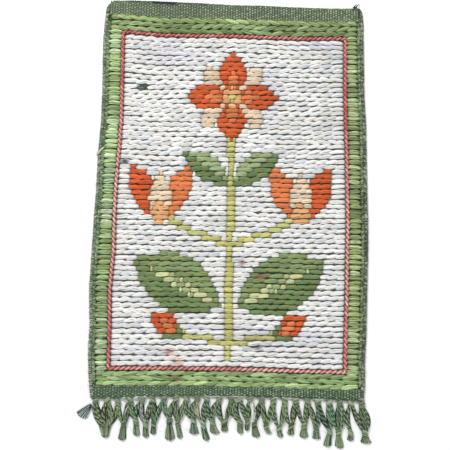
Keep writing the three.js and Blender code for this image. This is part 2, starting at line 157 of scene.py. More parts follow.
# Yarn colours, as display values from 0 to 255
DYES = {
    "cream": (240, 240, 238),
    "vermilion": (214, 100, 52),
    "orange": (226, 134, 82),
    "apricot": (232, 180, 126),
    "peach": (232, 212, 184),
    "leaf_dark": (120, 141, 92),
    "leaf_mid": (138, 157, 106),
    "leaf_light": (164, 180, 134),
    "rib": (212, 214, 164),
    "stem": (204, 202, 130),
    "coral": (200, 90, 94),
    "coral_pale": (242, 190, 180),
    # Painted shade for the cord's grooves, where a ply dips down
    "coral_groove_shade": (128, 66, 60),
    # The ground cloth: its dark green is partly its own colour and partly painted shade for the gaps between
    # the rows; under the cream rows a grey painted shade
    "ground": (50, 76, 30),
    "field_gap_shade": (116, 121, 110),
}
YARNS = {name: linear(dye) for name, dye in DYES.items()}


def sides_at(y, key):
    return np.interp(y, SIDES["y"], SIDES[key])


def ends_at(x, key):
    return np.interp(x, ENDS["x"], ENDS[key])


def corner_inset(radius, distance):
    into = np.clip(radius - distance, 0, radius)
    return radius - np.sqrt(radius * radius - into * into)


def left_edge(y):
    edge = sides_at(y, "left")
    return edge + corner_inset(TOP_LEFT_RADIUS, ends_at(edge, "top") - y)


def right_edge(y):
    edge = sides_at(y, "right")
    return edge - corner_inset(TOP_RIGHT_RADIUS, ends_at(edge, "top") - y)


def unit(vectors):
    return vectors / np.maximum(np.linalg.norm(vectors, axis=-1, keepdims=True), 1e-9)


def joined(*parts):
    """Arrays that are broadcast to one shape, side by side along a new last axis."""
    return np.stack(np.broadcast_arrays(*parts), -1)


def mix(low, high, share):
    return low * (1 - share) + high * share


def scatter(*shape):
    return rng.uniform(-1, 1, shape)


def smooth_noise(shape, steps):
    """Random values whose last axis drifts slowly, from -1 to 1."""
    knots = scatter(*shape[:-1], steps)
    at = np.linspace(0, steps - 1, shape[-1])
    low = np.clip(np.floor(at).astype(int), 0, steps - 2)
    return mix(knots[..., low], knots[..., low + 1], at - low)


def varied(colours, amount, hue=0.3):
    """Each colour a little lighter or darker, and a little warmer or cooler."""
    level = 1 + amount * scatter(*colours.shape[:-1], 1)
    warm = amount * hue * scatter(*colours.shape[:-1], 1) * np.array([1.0, 0.0, -1.0])
    return colours * (level + warm)


# Meshes

# How fast the fibres wind round a strand, and how far apart two strands are in the noise
FIBRE_TWIST = 0.8
FIBRE_APART = 41.3

# Where a strand's sides start in its texture cell and how far they reach, and its caps' middles and sizes
CELL_U = (0.14, 0.72)
CELL_V = (0.06, 0.88)
CAP_U = (0.06, 0.94)
CAP_HALF = (0.04, 0.3)


class Strands:
    """Swept strands that are joined into one mesh."""

    def __init__(self):
        self.points, self.fibre, self.colours, self.faces = [], [], [], []
        self.total = 0
        self.cells = 0
        self.count = 0

    def add(self, centres, side, wide, tall, colours, sides=5, closed=False, cell_rings=0):
        """Strands along centres (N, R, 3), whose sections start at side. The others broadcast to them."""
        strands, rings = centres.shape[:2]
        if closed:
            along = unit(np.roll(centres, -1, 1) - np.roll(centres, 1, 1))
        else:
            along = unit(np.gradient(centres, axis=1))
        first = unit(side - along * (side * along).sum(-1, keepdims=True))
        second = np.cross(along, first)
        turn = np.arange(sides) * 2 * math.pi / sides
        cos, sin = np.cos(turn)[:, None], np.sin(turn)[:, None]
        wide = np.broadcast_to(wide, (strands, rings))[..., None, None]
        tall = np.broadcast_to(tall, (strands, rings))[..., None, None]
        points = centres[:, :, None] + cos * wide * first[:, :, None] + sin * tall * second[:, :, None]
        step = np.linalg.norm(np.diff(centres, axis=1, prepend=centres[:, :1]), axis=-1)
        travel = np.cumsum(step, axis=1)[..., None]
        place = turn + FIBRE_TWIST * travel
        number = (self.count + np.arange(strands))[:, None, None]
        fibre = joined(travel + FIBRE_APART * number, np.cos(place), np.sin(place))
        colours = np.broadcast_to(colours, (strands, rings, 3))[:, :, None]
        self.points.append(points.reshape(-1, 3))
        self.fibre.append(fibre.reshape(-1, 3))
        self.colours.append(np.broadcast_to(colours, points.shape).reshape(-1, 3))
        spans = rings if closed else rings - 1
        cell_rings = cell_rings or spans
        cells = -(-spans // cell_rings)
        strand, ring, k = np.indices((strands, spans, sides))
        row = (strand * rings + ring) * sides
        next_row = (strand * rings + (ring + 1) % rings) * sides
        beside = (k + 1) % sides
        start = (ring % cell_rings) / cell_rings
        finish = start + 1 / cell_rings
        low, high = k / sides, (k + 1) / sides
        self.add_faces(
            joined(row + k, row + beside, next_row + beside, next_row + k),
            strand * cells + ring // cell_rings,
            CELL_U[0] + CELL_U[1] * joined(start, start, finish, finish),
            CELL_V[0] + CELL_V[1] * joined(low, high, high, low),
        )
        if not closed:
            self.add_caps(strands, rings, turn, cells)
        self.total += strands * rings * sides
        self.cells += strands * cells
        self.count += strands

    def add_caps(self, strands, rings, turn, cells):
        sides = len(turn)
        strand = np.arange(strands)
        heads = strand[:, None] * rings * sides + np.arange(sides)[::-1]
        tails = (strand[:, None] * rings + rings - 1) * sides + np.arange(sides)
        self.add_faces(
            np.concatenate([heads, tails]),
            np.concatenate([strand * cells, strand * cells + cells - 1]),
            np.repeat(CAP_U, strands)[:, None] + CAP_HALF[0] * np.cos(turn),
            0.5 + CAP_HALF[1] * np.sin(turn),
        )

    def add_faces(self, corners, cell, u, v):
        """Faces by their corners, each in a texture cell, with places from 0 to 1 in it."""
        group = np.broadcast_arrays(corners + self.total, (self.cells + cell)[..., None], u, v)
        self.faces.append([values.reshape(-1, corners.shape[-1]) for values in group])

    def build(self, name, material, slot):
        grid = math.ceil(math.sqrt(self.cells))
        corners, cell, u, v = (np.concatenate([group[k].ravel() for group in self.faces]) for k in range(4))
        sizes = np.concatenate([np.full(len(group[0]), group[0].shape[1]) for group in self.faces])
        uvs = joined((cell % grid + u) / grid, (cell // grid + v) / grid)
        shape = [np.concatenate(values) for values in (self.points, self.colours, self.fibre)]
        return make_piece(name, shape, corners, np.cumsum(sizes) - sizes, uvs, material)


def fill(values_of, key, values, kind=np.float32):
    values_of.foreach_set(key, values.astype(kind).ravel())


def make_piece(name, shape, corners, starts, uvs, material):
    """A mesh of points, their colours and the lie of their fibres, and of faces by their corners."""
    points, colours, fibre = shape
    mesh = bpy.data.meshes.new(name)
    mesh.vertices.add(len(points))
    fill(mesh.vertices, "co", (points + SHIFT) * MM)
    mesh.loops.add(len(corners))
    fill(mesh.loops, "vertex_index", corners, np.int32)
    mesh.polygons.add(len(starts))
    fill(mesh.polygons, "loop_start", starts, np.int32)
    mesh.update(calc_edges=True)
    fill(mesh.polygons, "use_smooth", np.ones(len(starts)), bool)
    fill(mesh.uv_layers.new(name="OFBake").uv, "vector", uvs)
    opaque = np.concatenate([colours, np.ones((len(colours), 1))], 1)
    fill(mesh.attributes.new("yarn", "FLOAT_COLOR", "POINT").data, "color", opaque)
    fill(mesh.attributes.new("fibre", "FLOAT_VECTOR", "POINT").data, "vector", fibre)
    mesh.validate()
    piece = bpy.data.objects.new(name, mesh)
    bpy.context.scene.collection.objects.link(piece)
    mesh.materials.append(material)
    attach(piece, "root")
    return piece


# Materials

def set_inputs(node, inputs):
    """Each input gets its value, or a link from the output that feeds it."""
    for name, source in inputs.items():
        if isinstance(source, bpy.types.NodeSocket):
            node.id_data.links.new(source, node.inputs[name])
        else:
            node.inputs[name].default_value = source


def add_node(tree, kind, inputs, **settings):
    node = tree.nodes.new("ShaderNode" + kind)
    for name, value in settings.items():
        setattr(node, name, value)
    set_inputs(node, inputs)
    return node.outputs


def wool(name, streak, fuzz, bump):
    """Wool whose colour is the strand's own, broken up by its fibres."""
    material = bpy.data.materials.new(name)
    material.use_nodes = True
    node = partial(add_node, material.node_tree)
    yarn = node("Attribute", {}, attribute_name="yarn")["Color"]
    lie = node("Attribute", {}, attribute_name="fibre")["Vector"]
    stretch = node("Mapping", {"Vector": lie, "Scale": (0.28, 2.6, 2.6)})["Vector"]
    fibres = node("TexNoise", {"Vector": stretch, "Scale": 1.0, "Detail": 3.0})["Fac"]
    levels = {"From Min": 0.3, "From Max": 0.7, "To Min": 1 - streak, "To Max": 1 + 0.35 * streak}
    level = node("MapRange", {"Value": fibres, **levels})["Result"]
    gloss = node("MapRange", {"Value": fibres, "To Min": 0.95, "To Max": 0.72})["Result"]
    set_inputs(material.node_tree.nodes["Principled BSDF"], {
        "Base Color": node("VectorMath", {0: yarn, "Scale": level}, operation="SCALE")["Vector"],
        "Roughness": gloss,
        "Normal": node("Bump", {"Height": fibres, "Strength": bump, "Distance": 0.0005})["Normal"],
        "Sheen Weight": fuzz,
        "Sheen Roughness": 0.5,
        "Specular IOR Level": 0.25,
    })
    return material


field_wool = wool("field_wool", 0.16, 0.12, 0.5)
border_wool = wool("border_wool", 0.22, 0.1, 0.5)
coral_wool = wool("coral_wool", 0.22, 0.1, 0.5)
fringe_wool = wool("fringe_wool", 0.35, 0.1, 0.6)
woven_wool = wool("woven_wool", 0.35, 0.1, 0.6)


# Colours over the rug

# The tree's stems: from x and y, to x and y, and half their width, to the right of the middle line
STEMS = [(0, -188, 0, 150, 5.2), (0, -30, 62, -8, 4.6), (62, -8, 100, 14, 4.6), (0, -172, 66, -158, 4.4)]

# Leaves and petals: from x and y, the angle in degrees, the length and the width
LARGE_LEAF = (12, -118, 27, 142, 82)
LARGE_RIB = (12, -118, 27, 118, 15)
LARGE_LIGHT = (52, -104, 44, 52, 9)
SMALL_LEAF = (3, 62, 36, 84, 40)
BLOSSOMS = {
    "vermilion": (104, 6, 62, 92, 40),
    "orange": (104, 6, 118, 92, 40),
    "peach": (104, 4, 90, 74, 34),
    "apricot": (104, 0, 90, 34, 30),
}
BUDS = {
    "leaf_dark": (64, -160, 20, 40, 26),
    "vermilion": (74, -158, 40, 46, 30),
    "orange": (74, -158, 40, 30, 14),
}

# The rosette's middle, where its petals start, and its rings of petals by first angle, yarn, length and width
ROSETTE_Y = 196
PETAL_START = 7
PETALS = [(45, {"peach": (56, 36)}), (0, {"vermilion": (62, 42), "orange": (36, 18)})]
EYE = {"apricot": 15, "stem": 7}


def lens(x, y, from_x, from_y, angle, length, width):
    """A pointed leaf or petal that starts at a point and reaches out at an angle."""
    turn = math.radians(angle)
    along = ((x - from_x) * math.cos(turn) + (y - from_y) * math.sin(turn)) / length
    across = (y - from_y) * math.cos(turn) - (x - from_x) * math.sin(turn)
    inside = np.clip(along, 0, 1)
    return (along > 0) & (along < 1) & (abs(across) < width / 2 * np.sin(math.pi * inside) ** 0.8)


def over_rib(x, y, leaf):
    """How far a point is above the middle line of a leaf."""
    from_x, from_y, angle = leaf[:3]
    return y - from_y - (x - from_x) * math.tan(math.radians(angle))


def bar(x, y, from_x, from_y, to_x, to_y, half):
    run_x, run_y = to_x - from_x, to_y - from_y
    share = ((x - from_x) * run_x + (y - from_y) * run_y) / (run_x ** 2 + run_y ** 2)
    share = np.clip(share, 0, 1)
    return np.hypot(x - from_x - share * run_x, y - from_y - share * run_y) < half


def design(x, y):
    """The yarn at each point of the field: a mirrored tree of leaves and blossoms."""
    u = abs(x - MIDDLE_X)
    yarn = np.full(np.broadcast(x, y).shape, "cream", dtype="<U12")
    for stem in STEMS:
        yarn[bar(u, y, *stem)] = "stem"
    large = lens(u, y, *LARGE_LEAF)
    yarn[large] = "leaf_mid"
    yarn[large & (over_rib(u, y, LARGE_LEAF) < 0)] = "leaf_dark"
    yarn[lens(u, y, *LARGE_RIB)] = "rib"
    yarn[lens(u, y, *LARGE_LIGHT) & large] = "leaf_light"
    small = lens(u, y, *SMALL_LEAF)
    yarn[small] = "leaf_dark"
    yarn[small & (over_rib(u, y, SMALL_LEAF) > 0)] = "leaf_light"
    for name, petal in BLOSSOMS.items():
        yarn[lens(u, y, *petal)] = name
    for first, petals in PETALS:
        for angle in range(first, 360, 90):
            from_x = PETAL_START * math.cos(math.radians(angle))
            from_y = ROSETTE_Y + PETAL_START * math.sin(math.radians(angle))
            for name, size in petals.items():
                yarn[lens(u, y, from_x, from_y, angle, *size)] = name
    for name, radius in EYE.items():
        yarn[np.hypot(u, y - ROSETTE_Y) < radius] = name
    for name, bud in BUDS.items():
        yarn[lens(u, y, *bud)] = name
    return yarn


# Tinted, faded and stained places, from the photograph: middle, half sizes, strength and colour
TINTS = table(
    ("x", "y", "wide", "tall", "strength", "colour"),
    (-88, 262, 42, 16, 0.4, (205, 203, 226)),
    (56, 200, 34, 34, 0.4, (206, 204, 228)),
    (148, 282, 42, 12, 0.4, (206, 208, 222)),
    (165, 200, 24, 95, 0.5, (222, 222, 218)),
    (74, -165, 98, 15, 0.4, (198, 198, 218)),
)
FADES = table(("x", "y", "wide", "tall", "strength"), (-148, 314, 34, 12, 0.12), (-170, -224, 16, 8, 0.15))
STAINS = table(
    ("x", "y", "wide", "tall", "strength", "colour"),
    (-76, -184, 8, 4, 0.8, (176, 92, 70)),
    (-65, -197, 9, 5, 0.7, (214, 148, 122)),
    (-65, -223, 8, 5, 0.6, (120, 70, 42)),
    (26, -55, 5, 4, 0.8, (160, 52, 62)),
    (52, -74, 6, 5, 0.7, (150, 60, 70)),
    (50, -176, 6, 4, 0.85, (58, 64, 70)),
    (-151.0, 93.0, 6.5, 4.6, 1.0, (34, 58, 50)),
    (-169.5, -167.3, 4.5, 2.6, 1.0, (46, 54, 24)),
    (-180.1, -165.3, 2.4, 2.0, 0.7, (122, 92, 66)),
)


def reach_of(spot, points):
    """How strongly a spot shows at each point."""
    across = (points[..., 0] - spot["x"]) / spot["wide"]
    along = (points[..., 1] - spot["y"]) / spot["tall"]
    return (spot["strength"] * np.exp(-across ** 2 - along ** 2))[..., None]


def stained(points, colours):
    """Colours with the tints, the fades and the stains laid over them."""
    for tint in TINTS:
        filtered = linear(tint["colour"]) / YARNS["cream"]
        colours = colours * (1 - reach_of(tint, points) * (1 - filtered))
    for fade in FADES:
        colours = colours * (1 + reach_of(fade, points))
    for stain in STAINS:
        colours = mix(colours, linear(stain["colour"]), reach_of(stain, points))
    return colours


# Wrapped rows

STITCH_STRANDS = 4
STITCH_RINGS = 7
ROW_HALF = 2.42
LAP = 0.2 * STITCH_PITCH
TUCK = 0.25
WRAP_LEVEL = 4.35
WRAP_RISE = 2.2

# What a stitch has unless it says otherwise
PLAIN_STITCH = {"full": 1.0, "swing": 2.5, "crown": 0.8, "ragged": 0.4, "streak": 0.12, "mottle": 0.06}


def wrap_stitches(strands, stitches):
    """Stitches from x0 to x1 on a row's middle line. The tips left and right are 1 where they are pointed."""
    count = len(stitches)
    stitches = [{**PLAIN_STITCH, **stitch} for stitch in stitches]
    (x0, x1, slant, left, right, full, swing, crown, ragged, streak, mottle) = (
        np.array([stitch[key] for stitch in stitches], float)[:, None, None]
        for key in ("x0", "x1", "slant", "left", "right", *PLAIN_STITCH)
    )
    t = np.linspace(0, 1, STITCH_RINGS)
    start = x0 - LAP * left + TUCK * (1 - left)
    finish = x1 + LAP * right - TUCK * (1 - right)
    x = start + (finish - start) * t
    rise = np.sin(math.pi / 2 * np.minimum(1, t / 0.5)) ** 0.75
    blunt = 0.72 + 0.28 * rise
    shape = (left * rise + (1 - left) * blunt) * (right * rise[::-1] + (1 - right) * blunt[::-1])
    slope = slant * (2 * t - 1) * (0.45 + 0.55 * np.minimum(1, (x1 - x0) / STITCH_PITCH))
    slope = slope * np.where(t < 0.5, left * 0.75 + 0.25, right * 0.75 + 0.25)
    middle = np.array([stitch["middle"](line) for stitch, line in zip(stitches, x)])
    lane = np.linspace(-1, 1, STITCH_STRANDS)[:, None]
    grid = (count, STITCH_STRANDS, STITCH_RINGS)
    strand = (count, STITCH_STRANDS, 1)
    y = middle + swing * slope + ROW_HALF * full * lane * shape + 0.4 * smooth_noise(grid, 4)
    dive = 1 - np.abs(2 * t - 1) ** 3.2
    z = WRAP_LEVEL + WRAP_RISE * dive * (0.75 + 0.25 * shape) - crown * lane ** 2
    z = z + 0.22 * smooth_noise(grid, 4)
    x = x + ragged * scatter(*strand) * (2 * t - 1) + 0.5 * smooth_noise(grid, 3)
    centres = np.stack([x, y, z], -1)
    width = (0.66 + 0.3 * shape) * (1 + 0.1 * scatter(*strand))
    colours = np.array([stitch["colour"] for stitch in stitches])[:, None]
    shades = colours * (1 + streak * scatter(*strand))
    patches = 1 + mottle * smooth_noise(grid, 5)
    shades = stained(centres, shades[:, :, None] * patches[..., None])
    flat = (count * STITCH_STRANDS, STITCH_RINGS)
    width = width.reshape(flat)
    strands.add(centres.reshape(*flat, 3), Y_AXIS, width, 1.05 * width, shades.reshape(*flat, 3))


# The worn place: its middle, its half sizes, and how much and how far around it the rows dip
WORN = {"x": -130.1, "y": 207.4, "wide": 8.6, "tall": 3.8, "dip": 3.6, "reach": (34, 30)}

# Height, length and shift from row to row of the waves in a field row
WAVES = [(0.5, 23, 0.9), (0.35, 41, -0.35), (0.3, 31, 2.7)]


def field_row_y(row, x):
    """The middle of a field row, which wavers as the wrapping did."""
    low = ends_at(x, "lineBottom") + BED_HALF
    high = ends_at(x, "lineTop") - BED_HALF
    sway = sum(height * np.sin(x / length + row * shift) for height, length, shift in WAVES)
    inward = np.minimum(1, np.minimum(row + 1, FIELD_ROWS - row) / 3)
    y = low + (high - low) * (row + 0.5) / FIELD_ROWS + sway * inward
    wide, tall = WORN["reach"]
    near = np.exp(-((x - WORN["x"]) / wide) ** 2 - ((y - WORN["dip"] - WORN["y"]) / tall) ** 2)
    return y - WORN["dip"] * near


def field_slant(row, x):
    """Which way the stitches lean: most of them up to the right, and some lengths of the rows down."""
    near_head = FIELD_ROWS - 1 - row < 3 and x > 60
    left_lengths = row % 11 in (3, 7) and x < 40
    right_lengths = row % 13 == 5 and x > 20
    return -1 if near_head or left_lengths or right_lengths else 1


def split_run(start, end, shift):
    """Joints along a run of one yarn."""
    if end - start < 1.5 * STITCH_PITCH:
        return [start, end]
    joints = [start]
    at = start + STITCH_PITCH * (0.45 + 0.75 * shift)
    while at < end - 0.45 * STITCH_PITCH:
        joints.append(at)
        at += STITCH_PITCH * rng.uniform(0.88, 1.1)
    return [*joints, end]


CREAMS = [(238, 238, 236), (234, 233, 229), (225, 226, 227)]
CREAM_SHARES = [0.5, 0.3, 0.2]
FIELD_CLEAR = 2.9


def run_stitches(row, run, yarn, from_worn, to_worn, shift, swing):
    """The stitches of one run of yarn in a field row."""
    stitches = []
    joints = split_run(*run, shift)
    for k, (x0, x1) in enumerate(zip(joints[:-1], joints[1:])):
        middle_x = (x0 + x1) / 2
        if yarn == "cream":
            colour = varied(linear(CREAMS[rng.choice(3, p=CREAM_SHARES)]), 0.06)
        else:
            colour = varied(YARNS[yarn], 0.13, 0.5)
        stitches.append({
            "x0": x0, "x1": x1, "slant": field_slant(row, middle_x) * rng.uniform(0.8, 1.15),
            "left": k > 0 or from_worn, "right": k < len(joints) - 2 or to_worn,
            "colour": colour, "middle": partial(field_row_y, row),
            "full": 0.92 if middle_x > 50 else 0.985, "crown": 0.62, "swing": swing,
        })
    return stitches


def row_stitches(row):
    """A field row's stitches, cut where the yarn changes and left out where it has worn away."""
    middle_y = field_row_y(row, MIDDLE_X)
    start = sides_at(middle_y, "lineLeft") + FIELD_CLEAR
    end = sides_at(middle_y, "lineRight") - FIELD_CLEAR
    warps = np.arange(start, end - WARP_PITCH / 2, WARP_PITCH)
    at = warps + WARP_PITCH / 2
    yarns = design(at, field_row_y(row, at))
    if abs(field_row_y(row, WORN["x"]) - WORN["y"]) < WORN["tall"]:
        yarns[abs(at - WORN["x"]) < WORN["wide"]] = "worn"
    changes = [0, *(np.flatnonzero(yarns[1:] != yarns[:-1]) + 1), len(warps)]
    shift = (0.5 * row + rng.uniform(-0.2, 0.2)) % 1
    swing = np.interp(middle_y, [-60, 120], [1.8, 2.3])
    stitches = []
    for first, last in zip(changes[:-1], changes[1:]):
        if yarns[first] == "worn":
            continue
        run = (warps[first], end if last == len(warps) else warps[last])
        from_worn = first > 0 and yarns[first - 1] == "worn"
        to_worn = last < len(warps) and yarns[last] == "worn"
        stitches += run_stitches(row, run, yarns[first], from_worn, to_worn, shift, swing)
    return stitches


def build_field():
    rows = [row_stitches(row) for row in range(FIELD_ROWS)]
    third = FIELD_ROWS // 3
    pieces = []
    for number, part in enumerate(("low", "middle", "high")):
        strands = Strands()
        wrap_stitches(strands, sum(rows[number * third:(number + 1) * third], []))
        pieces.append(strands.build("field_stitches_" + part, field_wool, "wool_field"))
    return pieces


# Greens from dark to light
GREENS_LEFT = [(156, 178, 120), (168, 190, 136), (182, 204, 154), (198, 216, 176), (212, 227, 198)]
GREENS_RIGHT = [(138, 154, 100), (150, 166, 112), (162, 178, 126), (176, 190, 144), (194, 206, 166)]
GREENS_TOP = [(128, 148, 96), (142, 162, 108), (156, 176, 122), (170, 190, 138), (190, 206, 164)]
GREENS_FOOT = [(136, 160, 104), (148, 172, 116), (160, 184, 130), (174, 196, 146), (192, 212, 168)]

# The green borders above and below the outline cord. Each swing is given at the two places in SWING_AT
BORDERS = [
    {"edge": "lineTop", "offset": BED_HALF, "depth": TOP_BORDER, "greens": GREENS_TOP,
     "slants": (1, 1, -1), "light": (0.9, 1.0, 1.1), "full": 1.08, "swing": (2.3, 3.0)},
    {"edge": "lineBottom", "offset": -BED_HALF, "depth": -FOOT_BORDER, "greens": GREENS_FOOT,
     "slants": (1, -1, 1), "light": (0.98, 1.04, 1.2), "full": 0.96, "swing": (2.0, 2.0)},
]
SWING_AT = (-130, -40)

# The floats beside the field: where their rows are read, and how light they are from foot to head
FLOATS = [
    {"hand": 1, "beside": -170.0, "edge": left_edge, "line": "lineLeft", "greens": GREENS_LEFT,
     "light": ([-200, 60, 140], [0.86, 0.95, 1.18]), "full": (1.04, 1.16), "streak": 0.42},
    {"hand": -1, "beside": 190.0, "edge": right_edge, "line": "lineRight", "greens": GREENS_RIGHT,
     "light": ([-120, 60], [1.14, 1.04]), "full": (0.95, 1.07), "streak": 0.5},
]

# How far inside the cloth's edge each kind of row starts, and how far from the cord's middle the floats end
BORDER_INSET = 11.0
FLOAT_INSET = 10.8
PICK_INSET = 5.2
WARP_INSET = 9.0
FLOAT_CLEAR = 2.7


def green_of(greens, level, amount):
    """One of the greens, near a level from 0 to 1."""
    pick = (level + rng.uniform(-amount, amount)) * len(greens)
    return linear(greens[int(np.clip(pick, 0, len(greens) - 1))])


def border_row_y(edge, offset, row, x):
    return ends_at(x, edge) + offset + 0.4 * np.sin(x / 19 + row * 1.7)


def build_border():
    """The three rows above and below the outline cord, the full width between the selvedges."""
    strands = Strands()
    stitches = []
    for band in BORDERS:
        for row in range(BORDER_ROWS):
            offset = band["offset"] + band["depth"] * (row + 0.5) / BORDER_ROWS
            middle = partial(border_row_y, band["edge"], offset, row)
            y = middle(MIDDLE_X)
            shift = (0.5 * row + rng.uniform(0, 0.3)) % 1
            joints = split_run(left_edge(y) + BORDER_INSET, right_edge(y) - BORDER_INSET, shift)
            tone = smooth_noise((len(joints),), 9)
            for k, (x0, x1) in enumerate(zip(joints[:-1], joints[1:])):
                green = green_of(band["greens"], tone[k] * 0.2 + 0.45, 0.2)
                turned = band["edge"] == "lineTop" and row == 0 and x0 < 55
                slant = -1 if turned else band["slants"][row]
                stitches.append({
                    "x0": x0, "x1": x1, "slant": slant * rng.uniform(0.85, 1.1),
                    "left": k > 0, "right": k < len(joints) - 2,
                    "colour": varied(green * band["light"][row], 0.09), "middle": middle,
                    "full": band["full"], "swing": np.interp(x0, SWING_AT, band["swing"]),
                    "streak": 0.34, "mottle": 0.2,
                })
    wrap_stitches(strands, stitches)
    return strands.build("border_stitches", border_wool, "wool_field")


def straight_y(y, x):
    return y + 0 * x


def build_floats():
    """The straight floats between the selvedges and the outline cord, one a row."""
    strands = Strands()
    stitches = []
    for side in FLOATS:
        foot, head = ends_at(side["beside"], "lineBottom"), ends_at(side["beside"], "lineTop")
        levels = [foot - 0.2, *(field_row_y(row, side["beside"]) for row in range(FIELD_ROWS)), head + 0.2]
        tone = smooth_noise((len(levels),), 17)
        for y, shade in zip(levels, tone):
            outer = side["edge"](y) + side["hand"] * FLOAT_INSET
            inner = sides_at(y, side["line"]) - side["hand"] * FLOAT_CLEAR
            start, end = sorted((outer, inner))
            green = green_of(side["greens"], shade * 0.25 + 0.47, 0.24)
            stitches.append({
                "x0": start + rng.uniform(-1.4, 0.8), "x1": end + rng.uniform(-0.8, 0.8),
                "slant": rng.uniform(-0.8, 0.8),
                "left": rng.uniform(0.0, 0.35), "right": rng.uniform(0.0, 0.35),
                "colour": varied(green * np.interp(y, *side["light"]), 0.08),
                "full": rng.uniform(*side["full"]), "middle": partial(straight_y, y),
                "streak": side["streak"], "mottle": 0.22, "ragged": 1.5, "crown": 0.95,
            })
    wrap_stitches(strands, stitches)
    return strands.build("side_floats", border_wool, "wool_field")


# Woven bands and selvedges

PICK_LEVEL = 3.2
HALF_WARP = WARP_PITCH / 2

# Dark, middle and light tones of the bands and of the worn place. The dark one is painted shade where a pick
# or a warp dips under, and the light one a painted highlight on some raised places; the worn place's warps
# take all three at random
HEADER = ((80, 93, 68), (144, 161, 130), (190, 204, 176))
FOOT = ((56, 78, 55), (119, 145, 114), (168, 191, 158))
BARE = ((48, 62, 48), (92, 108, 90), (164, 176, 160))

# The woven bands: the lines that they lie between, each with its offset. They reach under the border rows
BAND_LAP = 0.6
HEADER_BAND = {
    "low": ("lineTop", BED_HALF + TOP_BORDER - BAND_LAP), "high": ("top", -0.3),
    "picks": 12, "palette": HEADER, "soil_and_shade": True,
}
FOOT_BAND = {
    "low": ("bottom", STRIP + GAP), "high": ("lineBottom", BAND_LAP - BED_HALF - FOOT_BORDER),
    "picks": 8, "palette": FOOT, "soil_and_shade": False,
}

# Painted shade along the top edge: how dark the last two picks are along the rug
TOP_EDGE_SHADE = (38, 44, 50)
TOP_EDGE_SHADE_LEVELS = {
    -1: ([-160, -150, -122, -116, -84, -78, -34, -28], [0.0, 0.6, 0.6, 1.0, 1.0, 0.55, 0.55, 0.0]),
    -2: ([-122, -112, -86, -78], [0.0, 0.8, 0.8, 0.0]),
}


def woven_colours(path, dark, mid, light):
    """Painted light on a woven yarn: a painted highlight on some places where it comes up over a crossing
    yarn, painted shade where it goes under, and less of both to the left.
    """
    share = rng.uniform(0, 1, (*path.shape[:2], 1))
    highlight_share = np.interp(path[..., :1], [-190, 190], [0.32, 0.5])
    over = np.where(share < highlight_share, linear(light), linear(mid))
    colours = np.where(path[..., 2:] - PICK_LEVEL > 0.4, over, linear(dark))
    flat = np.interp(path[..., :1], [-80, 60], [0.35, 0.0])
    return varied(mix(colours, 0.9 * linear(mid), flat), 0.1)


def pick_path(y_of, start, end, parity):
    """A weft pick that goes over and under the warps."""
    x = np.arange(math.ceil(start / HALF_WARP) * HALF_WARP, end, HALF_WARP)
    phase = np.round(x / HALF_WARP).astype(int) + 2 * parity
    lift = np.array([1.0, 0.0, -1.0, 0.0])[phase % 4]
    y = y_of(x) + 0.25 * smooth_noise(x.shape, len(x) // 4)
    z = PICK_LEVEL + 0.8 * lift + 0.1 * scatter(len(x))
    return np.stack([x, y, z], -1)[None]


def band_y(band, share, x):
    """How high a woven band is at x, with a share of 0 at its low line and 1 at its high line."""
    low, high = (ends_at(x, key) + offset for key, offset in (band["low"], band["high"]))
    return low + (high - low) * share


def shade_top_edge(band, x, pick, colours):
    """Painted shade laid along the top edge, over a band's last two picks and over the warps there."""
    for last, (at, level) in TOP_EDGE_SHADE_LEVELS.items():
        near = np.clip(1.4 - np.abs(pick - (band["picks"] + last)), 0, 1)
        colours = mix(colours, linear(TOP_EDGE_SHADE), (np.interp(x, at, level) * near)[..., None])
    return colours


def add_band(strands, band):
    """A woven band: its picks, and the warps that go over the picks that go under them."""
    number = band["picks"]
    for k in range(number):
        y_of = partial(band_y, band, (k + 0.5) / number)
        y = y_of(MIDDLE_X)
        path = pick_path(y_of, left_edge(y) + PICK_INSET, right_edge(y) - PICK_INSET, k)
        # Painted shade where a pick dips under the warps, and painted highlights on some raised places
        colours = woven_colours(path, *band["palette"])
        # The header's last picks get painted shade along its top edge
        if band["soil_and_shade"]:
            colours = shade_top_edge(band, path[..., 0], k, colours)
        lift = path[..., 2] - PICK_LEVEL
        strands.add(path, Y_AXIS, 1.0 + 0.25 * lift, 0.85, colours, cell_rings=24)
    first = math.ceil((left_edge(0.0) + WARP_INSET) / WARP_PITCH)
    last = math.floor((right_edge(0.0) - WARP_INSET) / WARP_PITCH)
    warp = np.arange(first, last + 1)[:, None]
    at = np.arange(0, number, 0.5)
    x = warp * WARP_PITCH + 0.6 * smooth_noise((len(warp), len(at)), 5)
    y = band_y(band, (at + 0.5) / number, x)
    over = -np.cos(math.pi * (warp + at))
    z = PICK_LEVEL + 0.75 * over + 0.08 * scatter(*x.shape)
    path = np.stack([x, y, z], -1)
    # The warps: painted shade where they dip under the picks
    dark, mid = band["palette"][:2]
    colours = varied(woven_colours(path, dark, 0.78 * np.array(mid), mid), 0.22)
    # and the warps there get the same painted shade
    if band["soil_and_shade"]:
        colours = shade_top_edge(band, x, at, colours)
    wide = (1.15 + 0.2 * over) * rng.uniform(0.8, 1.15, (len(warp), 1))
    strands.add(path, X_AXIS, wide, 0.85, colours)


